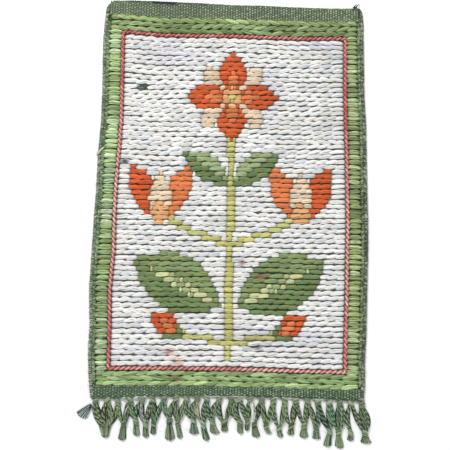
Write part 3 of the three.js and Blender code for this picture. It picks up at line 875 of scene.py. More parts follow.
def add_bare_threads(strands):
    """The warps and the picks that show where a stitch has worn away."""
    number, rings = 15, 6
    across = np.linspace(-1, 1, number)
    t = np.linspace(-1, 1, rings)
    tall = (4.6 - 1.6 * across ** 2) * rng.uniform(0.8, 1.1, number)
    x = WORN["x"] + WORN["wide"] * across[:, None] * (1 - 0.12 * t) + 0.4 * smooth_noise((number, rings), 4)
    y = WORN["y"] - 0.4 + tall[:, None] * t
    z = 5.1 + 0.9 * (1 - t ** 2) + 0.3 * scatter(number, rings)
    share = rng.uniform(0, 1, (number, rings, 1))
    dark, mid, light = linear(BARE)
    colours = np.where(share < 0.5, dark, np.where(share < 0.84, mid, light))
    strands.add(np.stack([x, y, z], -1), X_AXIS, 0.7, 0.6, varied(colours, 0.12))
    for k, reach in enumerate((1.12, 0.95, 0.9, 0.95, 1.12)):
        half = WORN["wide"] * reach
        y_of = partial(straight_y, WORN["y"] - 4.0 + 1.8 * k)
        path = pick_path(y_of, WORN["x"] - half, WORN["x"] + half, k)
        # The picks: painted shade where they dip under the warps
        colours = woven_colours(path, BARE[0], BARE[0], BARE[1])
        strands.add(path + 2.1 * UP, Y_AXIS, 0.8, 0.7, colours)


def build_bands():
    strands = Strands()
    add_band(strands, HEADER_BAND)
    add_band(strands, FOOT_BAND)
    add_bare_threads(strands)
    return strands.build("woven_bands", woven_wool, "wool_field")


# Each selvedge has an outer and an inner wound column, with dark, middle and light yarn
WRAP_PITCH = 2.15
ROW_PITCH = 7.5
WRAP_RINGS = 6
LOWEST_WRAP = 0.75
OUTER_WIND, INNER_WIND = table(
    ("low", "high", "middle", "radius", "level", "slant", "wave"),
    (-248.0, 348.8, 2.9, 2.25, 2.7, 3.4, 0.12),
    (-230.0, 322.0, 7.8, 2.2, 2.6, -4.2, 0.16),
)
COLUMNS = [
    (left_edge, 1, OUTER_WIND, ((84, 98, 80), (128, 142, 120), (190, 200, 184))),
    (left_edge, 1, INNER_WIND, ((66, 88, 54), (108, 132, 90), (170, 192, 144))),
    (right_edge, -1, OUTER_WIND, ((42, 54, 38), (98, 110, 86), (184, 194, 174))),
    (right_edge, -1, INNER_WIND, ((50, 66, 36), (112, 130, 90), (184, 200, 160))),
]


def wound_column(strands, edge_of, hand, wind, palette):
    """Short wraps, side by side up the rug, around one selvedge column."""
    number = int((wind["high"] - wind["low"]) / WRAP_PITCH)
    y = wind["low"] + np.cumsum(rng.uniform(0.6, 1.4, number) * WRAP_PITCH)
    y = y[y < wind["high"]][:, None]
    count = len(y)
    turn = np.radians(np.linspace(205, -20, WRAP_RINGS))
    swell = 1 + 0.1 * scatter(count, 1)
    x = edge_of(y) + hand * (wind["middle"] + wind["radius"] * swell * np.cos(turn))
    z = wind["level"] + (wind["radius"] * swell - 0.15) * np.sin(turn) + 0.12 * smooth_noise(x.shape, 4)
    lean = wind["slant"] * rng.uniform(0.3, 1.5, (count, 1))
    wave = 0.5 + wind["wave"] * np.sin(2 * math.pi * y / ROW_PITCH)
    wave = wave + 0.2 * smooth_noise((count,), count // 9)[:, None]
    y = y + lean * np.linspace(-0.5, 0.5, WRAP_RINGS) + 0.35 * smooth_noise(x.shape, 4)
    share = np.clip(wave + 0.4 * scatter(*x.shape), 0, 1)[..., None]
    dark, mid, light = linear(palette)
    colours = dark + (mid - dark) * np.minimum(2 * share, 1) + (light - mid) * np.maximum(2 * share - 1, 0)
    centres = np.stack([x, y, np.maximum(z, LOWEST_WRAP)], -1)
    strands.add(centres, -hand * Y_AXIS, 1.12, 0.72, varied(colours, 0.08))


def build_selvedges():
    strands = Strands()
    for column in COLUMNS:
        wound_column(strands, *column)
    return strands.build("selvedge_wraps", woven_wool, "wool_field")


# The ground: points along and across, its distance inside the edges, and its top under the rows and elsewhere
GROUND_GRID = (170, 72)
GROUND_INSET = 1.2
GROUND_FOOT = STRIP + GAP + 0.2
UNDER_ROWS = 3.7
UNDER_BANDS = 2.3
RIDGE = 0.45
BORDER_BACK = (120, 146, 98)
BAND_BACK = (92, 108, 84)


def ground_faces(rows, across):
    """The top, the underside and the rim as corners of faces, with their places in the texture."""
    number = rows * across
    index = np.arange(number).reshape(rows, across)
    top = np.stack([index[:-1, :-1], index[:-1, 1:], index[1:, 1:], index[1:, :-1]], -1).reshape(-1, 4)
    rim = np.concatenate([index[0, :-1], index[:-1, -1], index[-1, :0:-1], index[:0:-1, 0]])
    ahead = np.roll(rim, -1)
    wall = np.stack([rim, rim + number, ahead + number, ahead], -1)
    tile = joined(np.linspace(0, 1, across)[None], np.linspace(0, 1, rows)[:, None]).reshape(-1, 2)
    tile = (tile * 0.96 + 0.02) * np.array([0.47, 1.0])
    start = np.arange(len(wall)) / len(wall)
    finish = start + 1 / len(wall)
    wall_u = 0.965 + 0.02 * np.array([0, 1, 1, 0])
    wall_v = 0.01 + 0.98 * np.stack([start, start, finish, finish], -1)
    uvs = np.concatenate([tile[top], tile[top[:, ::-1]] + np.array([0.48, 0.0]), joined(wall_u, wall_v)])
    return np.concatenate([top, top[:, ::-1] + number, wall]), uvs.reshape(-1, 2)


def build_ground():
    """The hidden ground weave: on top a dark colour that is partly painted shade for the gaps between the
    rows, and on its back the rows with the yarns that pass behind.
    """
    rows, across = GROUND_GRID
    v = np.linspace(0, 1, rows)[:, None]
    u = np.linspace(0, 1, across)[None]
    x = np.zeros(GROUND_GRID)
    for _ in range(2):
        low, high = ends_at(x, "bottom") + GROUND_FOOT, ends_at(x, "top") - GROUND_INSET
        y = low + (high - low) * v
        left, right = left_edge(y) + GROUND_INSET, right_edge(y) - GROUND_INSET
        x = left + (right - left) * u
    foot_line, head_line = ends_at(x, "lineBottom"), ends_at(x, "lineTop")
    on_rows = (y > foot_line - BED_HALF - FOOT_BORDER + 1) & (y < head_line + BED_HALF + TOP_BORDER - 1)
    top = np.where(on_rows & (u > 0.03) & (u < 0.97), UNDER_ROWS, UNDER_BANDS)
    row_pitch = (ends_at(0.0, "lineTop") - ends_at(0.0, "lineBottom") - 2 * BED_HALF) / FIELD_ROWS
    ridge = RIDGE * (0.5 + 0.5 * np.cos(2 * math.pi * y / row_pitch))
    points = np.concatenate([np.stack([x, y, level], -1).reshape(-1, 3) for level in (top, ridge)])
    in_field = (x > sides_at(y, "lineLeft")) & (x < sides_at(y, "lineRight"))
    in_field = (in_field & (y > foot_line) & (y < head_line)).reshape(-1, 1)
    names = design(x, y).reshape(-1)
    back = np.array([YARNS[name] for name in names])
    # On top, painted shade for the gaps: grey under the cream rows, each yarn's colour darkened to 30% under
    # the others, and the dark ground elsewhere
    gap_shade = np.where((names == "cream")[:, None], YARNS["field_gap_shade"], 0.3 * back)
    front = np.where(in_field, gap_shade, YARNS["ground"])
    back = np.where(in_field, back, linear(BORDER_BACK))
    back = np.where(on_rows.reshape(-1, 1), back, linear(BAND_BACK))
    back = mix(back, YARNS["ground"], 0.3 + 0.25 * rng.uniform(0, 1, (rows * across, 1)))
    colours = np.concatenate([varied(front, np.where(in_field, 0.45, 0.15)), varied(back, 0.12)])
    faces, uvs = ground_faces(rows, across)
    shape = (points, colours, points * np.array([1.0, 1.6, 1.0]))
    starts = np.arange(len(faces)) * 4
    return make_piece("ground_cloth", shape, faces.ravel(), starts, uvs, woven_wool)


# Outline cord

CORAL_STEP = 1.3
CORAL_TURN = 15.0
CORAL_PLIES = 2
CORAL_RADIUS = 1.42
CORAL_THICK = 1.55

# Where a stitch pinches the cord on the left, how far along it that shows, and the stitch's colour
CORAL_JOINS = (-174.5, 83.7)
JOIN_REACH = 1.8
JOIN_COLOUR = (84, 74, 50)


def path_length(path):
    """How far along a path each of its points is."""
    return np.concatenate([[0], np.cumsum(np.linalg.norm(np.diff(path, axis=0), axis=1))])


def at_length(path, length, at):
    return np.stack([np.interp(at, length, values) for values in path.T], -1)


def loop_path(step):
    """The outline cord's path, once around the field, and its length."""
    sides = []
    for key in ("lineLeft", "lineRight"):
        x = sides_at(0.0, key)
        ys = np.arange(ends_at(x, "lineBottom"), ends_at(x, "lineTop"), step)
        sides.append(np.stack([sides_at(ys, key), ys], -1))
    left, right = sides
    ends = []
    for key, corner in (("lineBottom", 0), ("lineTop", -1)):
        xs = np.arange(left[corner, 0] + step, right[corner, 0], step)
        ends.append(np.stack([xs, ends_at(xs, key)], -1))
    path = np.concatenate([ends[0], right, ends[1][::-1], left[::-1]])
    path = (np.roll(path, 1, 0) + 2 * path + np.roll(path, -1, 0)) / 4
    closed = np.concatenate([path, path[:1]])
    length = path_length(closed)
    number = int(length[-1] / step)
    return at_length(closed, length, np.arange(number) * length[-1] / number), length[-1]


def build_coral():
    path, length = loop_path(CORAL_STEP)
    count = len(path)
    ahead = unit(np.roll(path, -1, 0) - np.roll(path, 1, 0))
    out = joined(ahead[:, 1], -ahead[:, 0], 0.0)
    turns = round(length / CORAL_TURN)
    strands = Strands()
    tone = 0.5 + 0.5 * np.sin(np.arange(count) / 57.0 + 1.0)
    tone = np.where(path[:, 1] > 280, 0.3 * tone, tone)
    at_foot = path[:, 1] < -204
    tone = np.where(at_foot, np.interp(path[:, 0], [15, 40], [0.45, 0.92]), tone)
    # Real dirt on the cord at the foot, around x = -65
    soil_and_shade = 1 - 0.34 * at_foot * np.exp(-((path[:, 0] + 65) / 10) ** 2)
    pinch = np.ones((count, 1))
    for at in CORAL_JOINS:
        pinch[:, 0] -= 0.6 * np.exp(-((path[:, 1] - at) / JOIN_REACH) ** 2) * (path[:, 0] < 0)
    for ply in range(CORAL_PLIES):
        angle = 2 * math.pi * (turns * np.arange(count) / count + ply / CORAL_PLIES)[:, None]
        ring = joined(path[:, 0], path[:, 1], CORD_LEVEL)
        centres = ring + CORAL_RADIUS * pinch * (np.cos(angle) * out + np.sin(angle) * UP)
        pale = 0.15 + tone * (0.57 + 0.16 * ply) + 0.3 * smooth_noise((count,), count // 6)
        colours = mix(YARNS["coral"], YARNS["coral_pale"], np.clip(pale, 0, 1)[:, None])
        # Painted shade where a ply dips down between the others
        colours = mix(colours, YARNS["coral_groove_shade"], np.clip(0.75 - 1.2 * np.sin(angle), 0, 1))
        colours = mix(linear(JOIN_COLOUR), colours, pinch) * soil_and_shade[:, None]
        thick = CORAL_THICK * pinch[:, 0]
        strands.add(centres[None], out[None], thick, thick, varied(colours[None], 0.1), sides=6, closed=True,
                    cell_rings=30)
    return strands.build("coral_cord", coral_wool, "wool_coral")


# Fringe

DARK_WOOL = [(46, 64, 48), (44, 64, 56), (56, 66, 42), (52, 74, 56)]
MID_WOOL = [(104, 126, 94), (106, 132, 112), (116, 130, 92), (94, 122, 88), (118, 140, 106)]
LIGHT_WOOL = [(170, 190, 156), (178, 196, 170), (162, 188, 162), (182, 192, 158)]
PALE_WOOL = [(214, 220, 210), (198, 206, 192)]
KNOT_WOOL = [(86, 106, 78), (124, 144, 112), (150, 168, 134), (186, 200, 168)]
ROOT_WOOL = [(122, 138, 110), (140, 156, 128), (158, 174, 144), (182, 196, 168)]
# A brush's strands take these lists in turn, so that dark strands lie between light ones as painted shade
BRUSH_WOOL = [DARK_WOOL, MID_WOOL, LIGHT_WOOL, LIGHT_WOOL]
GREEN_PLIES = [LIGHT_WOOL, MID_WOOL, DARK_WOOL]
GREY_PLIES = [PALE_WOOL, LIGHT_WOOL, MID_WOOL]
UNDYED = (1.0, 1.0, 1.0)

# What each yarn's dye does to the tones of its plies, and those tones
WOOLS = {
    "olive": ((0.78, 0.77, 0.65), GREEN_PLIES),
    "leaf": ((0.78, 0.84, 0.71), GREEN_PLIES),
    "teal": ((0.66, 0.78, 0.76), GREEN_PLIES),
    "grey": ((0.77, 0.78, 0.74), GREEN_PLIES),
    "dark": ((0.5, 0.54, 0.49), GREEN_PLIES),
    "lilac": ((0.66, 0.66, 0.76), GREY_PLIES),
    "sand": ((0.8, 0.74, 0.6), GREY_PLIES),
    "pale": ((1.26, 1.2, 1.28), [PALE_WOOL, PALE_WOOL, PALE_WOOL]),
}

# How a cord is laid up: the plies' distance from its middle, their thickness, the turn's length, their angles
CORDS = [
    {"radius": 1.0, "thick": 0.9, "pitch": 7.0, "plies": (0, 120, 240)},
    {"radius": 1.15, "thick": 0.74, "pitch": 16.0, "plies": (0, 72, 144, 216, 288)},
]
LOOSE = {"radius": 0.55, "thick": 0.66, "pitch": 6.4, "plies": (0, 180)}
PLY_STEP = 1.25
MEMBER_PITCH = 1.75
CORD_APART = 1.5
CORD_RINGS = 20
UNDER_LEVEL, BUNDLE_LEVEL, OVER_LEVEL = 1.0, 2.9, 3.9

# The warps between the cloth and a root knot: how many, how far apart, and their level from top to knot
NECK = {"warps": 4, "pitch": 1.7, "levels": (2.6, 2.9, 3.0)}

# Knots, and how far the cords reach into them
ROOT_KNOT = {"width": 9.4, "length": 7.6, "height": 6.6}
LOW_KNOT = {"length": 8.0, "height": 6.6}
KNOT_LOOPS = 6
KNOT_RINGS = 16
BITE = 1.6

# Brushes: a knot's cut ends, those of a gather with too many pairs for a knot, and the one that strays
BRUSH_RINGS = 6
KNOT_PAIRS = 4
KNOT_BRUSH = {"above": -2.6, "narrow": 2.6}
WIDE_BRUSH = {"above": 6.5, "narrow": 8.6, "number": 26}
STRAY = {
    "start": (-184.0, -259.5), "tip": (-199.0, -276.2), "flare": (8.0, -4.2), "number": 12, "narrow": 1.5,
}
# The stray brush's tones, taken in turn like BRUSH_WOOL, so dark strands lie between light ones as painted
# shade
STRAY_TONES = [[(16, 34, 30)], [(50, 78, 68)], [(216, 228, 216)], [(162, 188, 174)]]
PALE_END = [(-136.0, -272.4, 4.4), (-134.9, -268.2, 5.6), (-133.2, -263.6, 5.8), (-131.8, -261.0, 4.8)]

# The hem on the root strip: where it starts and ends, its yarn, and the pale bits that stand out from it
STRIP_X = (-184.0, 199.0)
HEM = ((92, 110, 84), (196, 206, 192))
HEM_BITS = table(
    ("x", "half", "colour"),
    (-138.0, 2.6, (172, 190, 168)),
    (-120.8, 3.4, (206, 216, 206)),
    (-110.4, 4.2, (214, 226, 220)),
    (-64.0, 3.0, (196, 196, 160)),
)


def wool_tone(tones, hue):
    return varied(linear(tones[rng.integers(len(tones))]) * np.array(hue), 0.1)


def hue_of(wool):
    return np.array(WOOLS[wool][0])


def twist_up(strands, path, lay, tones, hue):
    """Plies wound round a path of points, drawn together at its ends, each with its own list of tones."""
    colours = [wool_tone(tones[k % len(tones)], hue) for k in range(len(lay["plies"]))]
    length = path_length(path)
    count = max(6, int(length[-1] / PLY_STEP))
    at = np.linspace(0, length[-1], count)
    line = at_length(path, length, at)
    ahead = unit(np.gradient(line, axis=0))
    out = unit(joined(ahead[:, 1], -ahead[:, 0], 0.0))
    up = np.cross(out, ahead)
    open_out = 0.7 + 0.3 * np.sin(math.pi * np.linspace(0, 1, count)) ** 0.5
    phase = rng.uniform(0, 360)
    for ply, colour in zip(lay["plies"], colours):
        angle = np.radians(phase + ply + 360 * at / lay["pitch"])[:, None]
        swing = (lay["radius"] * open_out)[:, None]
        centres = line + swing * (np.cos(angle) * out + 0.8 * np.sin(angle) * up)
        centres[:, 2] = np.maximum(centres[:, 2], lay["thick"] * 0.96)
        strands.add(centres[None], out[None], lay["thick"], lay["thick"], colour)


def swung_path(start, end, bow, level, hump):
    """A path that swings sideways by bow and lies near one level."""
    t = np.linspace(0, 1, CORD_RINGS)[:, None]
    start, end = np.array(start), np.array(end)
    across, down = end - start
    first = start + np.array([0.2 * across + 1.9 * bow, 0.4 * down])
    last = start + np.array([0.68 * across + 1.3 * bow, 0.76 * down])
    flat = (1 - t) ** 3 * start + 3 * t * (1 - t) ** 2 * first + 3 * t ** 2 * (1 - t) * last + t ** 3 * end
    return np.concatenate([flat, level + hump * np.sin(math.pi * t)], 1)


def add_pair(strands, start, end, bow, wool):
    """Two fringe yarns between their knots, turned loosely round each other, over two dark yarns that stand
    as painted shade beneath them.
    """
    path = swung_path(start, end, bow, BUNDLE_LEVEL, rng.uniform(-0.2, 0.6))
    share = np.linspace(0, 1, CORD_RINGS)
    path[:, 0] += rng.uniform(-0.9, 0.9) * np.sin(2 * math.pi * share)
    turn = rng.uniform(0, 2 * math.pi) + rng.choice([-1, 1]) * rng.uniform(0.3, 0.75) * 2 * math.pi * share
    swell = 0.75 + 0.45 * np.sin(math.pi * share)
    hue, tones = WOOLS[wool]
    lay = CORDS[rng.integers(len(CORDS))]
    for hand in (-1, 1):
        aside = hand * CORD_APART * swell * np.cos(turn)
        twist_up(strands, path + joined(aside, 0.0, 0.85 * hand * np.sin(turn)), lay, tones, hue)
    # The low yarns are dark as painted shade under the pair, or middle-toned under a pale pair
    shade = MID_WOOL if wool == "pale" else DARK_WOOL
    for lean in (-rng.uniform(1.6, 3.6), rng.uniform(1.6, 3.6)):
        under = swung_path(start, end, bow + lean, UNDER_LEVEL, 0.0)
        twist_up(strands, under, LOOSE, [shade], hue)
    if rng.uniform() < 0.4:
        over = swung_path(start, end, bow + rng.choice([-1, 1]) * rng.uniform(1.6, 3.2), OVER_LEVEL, 1.0)
        twist_up(strands, over, LOOSE, [LIGHT_WOOL, MID_WOOL], hue)


def add_knot(strands, x, y, width, size, tones, hue):
    """Loops of yarn wound round a bundle that lies along Y."""
    turn = np.arange(KNOT_RINGS) * 2 * math.pi / KNOT_RINGS
    half = size["height"] / 2
    lean = rng.uniform(1.2, 2.2) * rng.choice([-1, 1])
    for k in range(KNOT_LOOPS):
        along = (k - (KNOT_LOOPS - 1) / 2) / KNOT_LOOPS
        swell = 1 - 1.15 * along ** 2
        px = x + (width / 2 - 0.9) * swell * np.cos(turn)
        pz = half + (half - 0.8) * swell * np.sin(turn)
        py = y + along * size["length"] + lean * swell * np.cos(turn) + 0.25 * rng.uniform(-1, 1)
        centres = np.stack([px, py, np.maximum(pz, 1.0)], -1)[None]
        thick = size["length"] / KNOT_LOOPS * rng.uniform(0.46, 0.58)
        strands.add(centres, Y_AXIS, thick, 0.85, wool_tone(tones, hue), closed=True)


def add_neck(strands, root):
    """The warps that leave the cloth's foot and enter a root knot."""
    top = ends_at(root["x"], "bottom") + STRIP
    for k in range(NECK["warps"]):
        x = root["x"] + (k - (NECK["warps"] - 1) / 2) * NECK["pitch"]
        path = joined([x, x, x * 0.6 + root["x"] * 0.4], [top, top - 2, root["y"]], NECK["levels"])
        twist_up(strands, path, LOOSE, [MID_WOOL, LIGHT_WOOL], hue_of(root["wool"][k // 2]))


def add_brush(strands, start, tip, flare, number, tones, hue, narrow):
    """Cut ends in two layers, which spread out and lie down. They start narrow and end as wide as flare."""
    t = np.linspace(0, 1, BRUSH_RINGS)
    start, tip, flare = np.array(start), np.array(tip), np.array(flare)
    # Each layer's painted shade: the lower one, which the upper one covers, is darker
    for layer, dark in enumerate((0.5, 0.8)):
        spread = np.linspace(-1, 1, number)[:, None] + rng.uniform(-0.1, 0.1, (number, 1))
        reach = (1.02 - 0.14 * spread ** 2) * rng.uniform(0.93, 1.0, (number, 1))
        ends = start + (tip + spread * flare - start) * reach
        roots = start + spread * flare / math.hypot(*flare) * narrow
        flat = mix(roots[:, None], ends[:, None], (t ** 1.15)[:, None])
        flat = flat + 0.45 * smooth_noise((number, 2, BRUSH_RINGS), 4).transpose(0, 2, 1)
        crown = 1 - 0.5 * np.abs(spread)
        z = 0.9 + layer * 1.5 * crown + 1.4 * (1 - t) * crown + 0.5 * rng.uniform(0, 1, (number, 1))
        centres = np.concatenate([flat, z[..., None]], -1)
        picks = (2 * np.arange(number) + rng.integers(0, 2, number)) % len(tones)
        colours = np.array([wool_tone(tones[pick], hue) for pick in picks])[:, None]
        # Painted shade, darkest at the roots, growing lighter out to the cut tips
        shade = dark + 0.46 * t[:, None] ** 5
        strands.add(centres, UP, 0.8, 0.7 + 0.16 * t, colours * shade)


def add_gather(cords, knots, brushes, gather, pairs):
    """The pairs of yarn that arrive at a gather, its knot and its brush. The wide one has no knot."""
    members = 2 * len(pairs)
    pitch = min(MEMBER_PITCH, (gather["width"] * 0.82 - 1.6) / (members - 1))
    for k, (start, bow, wool) in enumerate(pairs):
        x = gather["x"] + (2 * k + 0.5 - (members - 1) / 2) * pitch
        add_pair(cords, start, (x, gather["y"] + LOW_KNOT["length"] / 2 - BITE), bow, wool)
    hue = 0.3 + 0.7 * hue_of(wool)
    brush, number = WIDE_BRUSH, WIDE_BRUSH["number"]
    if len(pairs) <= KNOT_PAIRS:
        add_knot(knots, gather["x"], gather["y"], gather["width"], LOW_KNOT, KNOT_WOOL, hue)
        brush, number = KNOT_BRUSH, round(5 + 1.1 * gather["flare"])
    start = (gather["x"], gather["y"] + brush["above"])
    add_brush(brushes, start, gather["tip"], (gather["flare"], 0.0), number, BRUSH_WOOL, hue, brush["narrow"])


def fill_strip(strip):
    """Two picks and the hem thread along the fringe's roots, with the pale bits over them."""
    x = np.arange(*STRIP_X, 1.0)
    foot = ends_at(x, "bottom")
    for k in range(2):
        y = foot + 0.75 + 1.1 * k + 0.3 * smooth_noise(x.shape, 90)
        z = PICK_LEVEL + 0.5 * np.sin(x / WARP_PITCH * math.pi + k * math.pi) - 0.5
        path = np.stack([x, y, z], -1)[None]
        # Painted shade where these picks dip under, and painted highlights on some raised places
        strip.add(path, Y_AXIS, 0.72, 0.85, woven_colours(path, *FOOT), cell_rings=48)
    y = foot + 1.0 + 0.5 * smooth_noise(x.shape, 60)
    path = np.stack([x, y, 3.7 + 0.3 * smooth_noise(x.shape, 120)], -1)[None]
    pale = np.clip(1.5 * smooth_noise(x.shape, 42) - 0.2, 0, 1)[None, :, None]
    strip.add(path, Y_AXIS, 0.8, 0.7, varied(mix(linear(HEM[0]), linear(HEM[1]), pale), 0.1), cell_rings=48)
    at = np.linspace(-1, 1, 7)
    thick = 0.95 - 0.45 * at ** 2
    for bit in HEM_BITS:
        for lane in (-0.6, 0.7):
            x = bit["x"] + bit["half"] * at + lane
            y = ends_at(x, "bottom") + 0.5 + lane + 0.3 * np.sin(3 * at + lane)
            path = np.stack([x, y, 4.4 - 0.9 * at ** 2], -1)[None]
            strip.add(path, Y_AXIS, thick, 0.9 * thick, linear(bit["colour"]))


def build_fringe():
    cords, knots, brushes, strip = Strands(), Strands(), Strands(), Strands()
    arriving = [[] for _ in GATHERS]
    for root in ROOTS:
        hue = 0.65 + 0.35 * hue_of(root["wool"][0])
        add_knot(knots, root["x"], root["y"], ROOT_KNOT["width"], ROOT_KNOT, ROOT_WOOL, hue)
        add_neck(cords, root)
        y = root["y"] - ROOT_KNOT["length"] / 2 + BITE
        for hand, to, bow, wool in zip((-1, 1), root["to"], root["bow"], root["wool"]):
            arriving[to].append(((root["x"] + hand * MEMBER_PITCH, y), bow, wool))
    for gather, pairs in zip(GATHERS, arriving):
        add_gather(cords, knots, brushes, gather, pairs)
    add_brush(brushes, tones=STRAY_TONES, hue=UNDYED, **STRAY)
    pale = varied(linear([[(222, 226, 218)]]), 0.05)
    brushes.add(np.array([PALE_END]), UP, 0.6, 0.55, pale)
    fill_strip(strip)
    parts = {"fringe_cords": cords, "fringe_knots": knots, "fringe_brushes": brushes}
    pieces = [strands.build(name, fringe_wool, "wool_fringe") for name, strands in parts.items()]
    return [*pieces, strip.build("fringe_strip", woven_wool, "wool_fringe")]


# Loose fibres and threads

# Loose fibres by place: how many, how high they start, and how long the shortest and the longest are
FUZZ = {
    "field": (400, 6.3, (2.5, 6.0)),
    "border": (400, 5.8, (4.0, 9.0)),
    "edge": (320, 3.0, (2.0, 5.0)),
    "fringe": (160, 2.0, (3.0, 8.0)),
}
SEAM_FUZZ = 420
FUZZ_RINGS = 4
FUZZ_TONES = linear([(176, 196, 150), (140, 162, 116), (206, 218, 190)])

# Where the fibres are, in x and in y. Those of the borders and the seams follow the cord's lines
FIELD_BOX = ((-156, 173), (-202, 287))
FRINGE_BOX = ((-170, 196), (-296, -254))
SEAM_X = (-178, 196)
EDGE_Y = (-246, 340)

# The seams between the borders and the woven bands: their line, its offset, and the side that the band is on
SEAMS = [("lineTop", BED_HALF + TOP_BORDER, 1), ("lineBottom", -BED_HALF - FOOT_BORDER, -1)]


def fuzz_colours(number, tones=3):
    return FUZZ_TONES[rng.integers(0, tones, number)]


def add_fuzz(strands, place, x, y, colours):
    """Short loose fibres that rise from the yarn in small arcs."""
    number, level, reach = FUZZ[place]
    size = (number, 1)
    t = np.linspace(0, 1, FUZZ_RINGS)
    length = rng.uniform(*reach, size)
    turn = rng.uniform(0, 2 * math.pi, size)
    turn = turn + rng.uniform(-1.2, 1.2, size) * t
    px = x[:, None] + length * t * np.cos(turn)
    py = y[:, None] + length * t * np.sin(turn)
    pz = level + rng.uniform(0.8, 2.2, size) * np.sin(math.pi * t * 0.85)
    centres = np.stack([px, py, np.maximum(pz, 0.3)], -1)
    strands.add(centres, UP, 0.14, 0.14, varied(colours, 0.1)[:, None], sides=3)


def add_box_fuzz(strands, place, box):
    """Loose fibres all over a box, in the colour of the yarn below them where that is the field."""
    number = FUZZ[place][0]
    x, y = (rng.uniform(low, high, number) for low, high in box)
    if place == "field":
        colours = np.array([YARNS[name] for name in design(x, y)])
    else:
        colours = fuzz_colours(number)
    add_fuzz(strands, place, x, y, colours)


def add_border_fuzz(strands):
    """Loose fibres on the four green borders: the left, the right, the top and the foot."""
    number = FUZZ["border"][0]
    side = rng.integers(0, 4, number)
    along, across = rng.uniform(0, 1, number), scatter(number)
    upward = -205 + 495 * along
    y = np.choose(side, [upward, upward, 308 + 15 * across, -219 + 9 * across])
    left = sides_at(y, "lineLeft") - 11 + 8 * across
    right = sides_at(y, "lineRight") + 12 + 8 * across
    sideways = -175 + 365 * along
    x = np.choose(side, [left, right, sideways, sideways])
    add_fuzz(strands, "border", x, y, fuzz_colours(number))


def add_seam_fuzz(strands, key, offset, lean):
    """Short fibres over the seam between a border and its woven band."""
    size = (SEAM_FUZZ, 1)
    x = rng.uniform(*SEAM_X, size)
    y = ends_at(x, key) + offset + rng.uniform(-2.4, 1.6, size) * lean
    t = np.linspace(0, 1, FUZZ_RINGS)
    reach = rng.uniform(1.5, 5.0, size) * rng.choice([-1, 1], size)
    rise = rng.uniform(0.4, 2.6, size) * lean
    centres = joined(x + reach * t, y + rise * t, 5.6 - 1.2 * t + 0.5 * np.sin(math.pi * t))
    colours = fuzz_colours(SEAM_FUZZ)[:, None]
    strands.add(centres, UP, 0.3, 0.25, varied(colours, 0.12), sides=3)


def add_edge_fuzz(strands):
    """Loose fibres along the left and the right edge, in the two darker tones."""
    number = FUZZ["edge"][0]
    y = rng.uniform(*EDGE_Y, number)
    x = np.where(rng.uniform(0, 1, number) < 0.5, left_edge(y) + 1.0, right_edge(y) - 1.0)
    add_fuzz(strands, "edge", x, y, fuzz_colours(number, 2))


def build_fuzz():
    strands = Strands()
    add_box_fuzz(strands, "field", FIELD_BOX)
    add_border_fuzz(strands)
    for seam in SEAMS:
        add_seam_fuzz(strands, *seam)
    add_edge_fuzz(strands)
    add_box_fuzz(strands, "fringe", FRINGE_BOX)
    return strands.build("loose_fibres", border_wool, "wool_field")


# The torn thread's strands, how thick they are along it, and how far they have frayed to a paler colour
TORN = [
    [(191.0, 340.5, 4.6), (194.5, 342.0, 5.6), (197.5, 345.5, 5.2), (199.6, 349.0, 4.0), (201.5, 352.5, 2.0)],
    [(192.5, 341.8, 4.4), (195.5, 343.8, 6.0), (198.0, 347.0, 5.0), (200.6, 350.0, 3.2), (203.0, 352.0, 1.6)],
    [(191.6, 343.6, 4.0), (193.6, 345.6, 5.0), (195.4, 347.8, 4.0), (197.0, 350.4, 2.2), (198.6, 352.2, 1.2)],
]
TORN_THICK = np.array([0.8, 0.95, 0.9, 0.6, 0.4])
TORN_FRAYED = np.array([[0.0], [0.0], [0.05], [0.45], [1.0]])
TORN_COLOURS = ((70, 56, 62), (214, 180, 176))

# The loose ends at the left edge: the first one's points, and how far the next ones are moved at each point
LOOSE_END = [
    (-182.5, 113.6, 6.0), (-185.5, 111.6, 6.4), (-189.2, 108.2, 5.4),
    (-192.6, 105.4, 3.4), (-193.6, 103.8, 1.8),
]
LOOSE_ASIDE = np.array([(0.8, 0.8, 0), (0, 0.8, 0), (0, 0.8, 0), (0, 1.12, 0), (0, 1.44, 0)])
LOOSE_ENDS = 4


def build_wisp():
    """A torn thread at the top right corner, and the loose thread ends at the left edge."""
    strands = Strands()
    torn_colours = mix(*linear(TORN_COLOURS), TORN_FRAYED)
    for points in TORN:
        strands.add(np.array([points]), UP, TORN_THICK, TORN_THICK, torn_colours)
    for k in range(LOOSE_ENDS):
        points = np.array(LOOSE_END) + (k - (LOOSE_ENDS - 1) / 2) * LOOSE_ASIDE
        strands.add(points[None], UP, 0.62, 0.55, varied(linear([[(206, 218, 204)]]), 0.12))
    return strands.build("thread_wisp", fringe_wool, "wool_fringe")


# The model

ground = build_ground()
field = build_field()
border = build_border()
floats = build_floats()
bands = build_bands()
selvedges = build_selvedges()
coral = build_coral()
fringe = build_fringe()
wisp = build_wisp()
fuzz = build_fuzz()

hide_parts("rug_body")
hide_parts("outline_cord")
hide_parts("knotted_fringe")

# Floor, light and camera, in metres

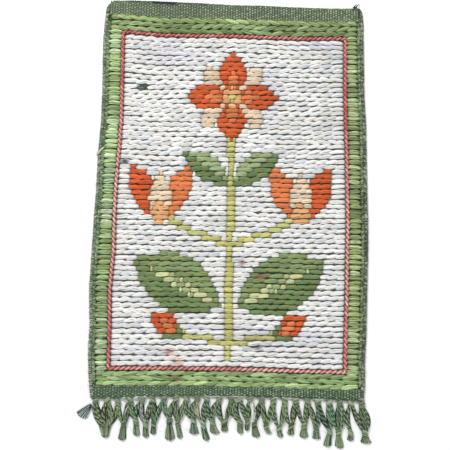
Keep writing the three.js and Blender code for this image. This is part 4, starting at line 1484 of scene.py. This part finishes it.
FLOOR_HALF = 2.5
FLOOR_LEVEL = -0.0001
CAMERA_DISTANCE = 0.917
CAMERA_LEAN = math.radians(8.5)
CAMERA_ROLL = math.radians(1.1)


def build_floor():
    mesh = bpy.data.meshes.new("floor")
    corners = [(x * FLOOR_HALF, y * FLOOR_HALF, FLOOR_LEVEL) for x, y in ((-1, -1), (1, -1), (1, 1), (-1, 1))]
    mesh.from_pydata(corners, [], [(0, 1, 2, 3)])
    floor = bpy.data.objects.new("floor", mesh)
    bpy.context.scene.collection.objects.link(floor)
    material = bpy.data.materials.new("floor_paint")
    material.use_nodes = True
    paint = {"Base Color": (0.93, 0.93, 0.93, 1), "Roughness": 0.9}
    set_inputs(material.node_tree.nodes["Principled BSDF"], paint)
    mesh.materials.append(material)


def add_area(name, place, power, size):
    """A square lamp that is aimed at the origin."""
    light = bpy.data.lights.new(name, "AREA")
    light.energy = power
    light.size = size
    lamp = bpy.data.objects.new(name, light)
    lamp.location = place
    lamp.rotation_euler = (math.acos(place[2] / np.linalg.norm(place)), 0, math.atan2(place[0], -place[1]))
    bpy.context.scene.collection.objects.link(lamp)


def build_light():
    add_area("key", (-0.9, 1.5, 1.9), 52, 0.8)
    add_area("fill", (1.6, -1.2, 2.2), 16, 1.8)
    world = bpy.data.worlds.new("studio")
    world.use_nodes = True
    set_inputs(world.node_tree.nodes["Background"], {"Color": (1, 1, 1, 1), "Strength": 0.55})
    bpy.context.scene.world = world
    bpy.context.scene.view_settings.view_transform = "Standard"


def build_camera():
    """A camera that looks at the rug's surface from almost straight above, as the photograph does."""
    optics = bpy.data.cameras.new("camera")
    optics.lens = 50
    optics.sensor_width = 36
    camera = bpy.data.objects.new("camera", optics)
    aim = (SHIFT + SURFACE * UP) * MM
    away = CAMERA_DISTANCE * np.array([0, -math.sin(CAMERA_LEAN), math.cos(CAMERA_LEAN)])
    turned = Matrix.Rotation(CAMERA_LEAN, 4, "X") @ Matrix.Rotation(CAMERA_ROLL, 4, "Z")
    camera.matrix_world = Matrix.Translation(aim + away) @ turned
    bpy.context.scene.collection.objects.link(camera)
    bpy.context.scene.camera = camera


build_floor()
build_light()
build_camera()
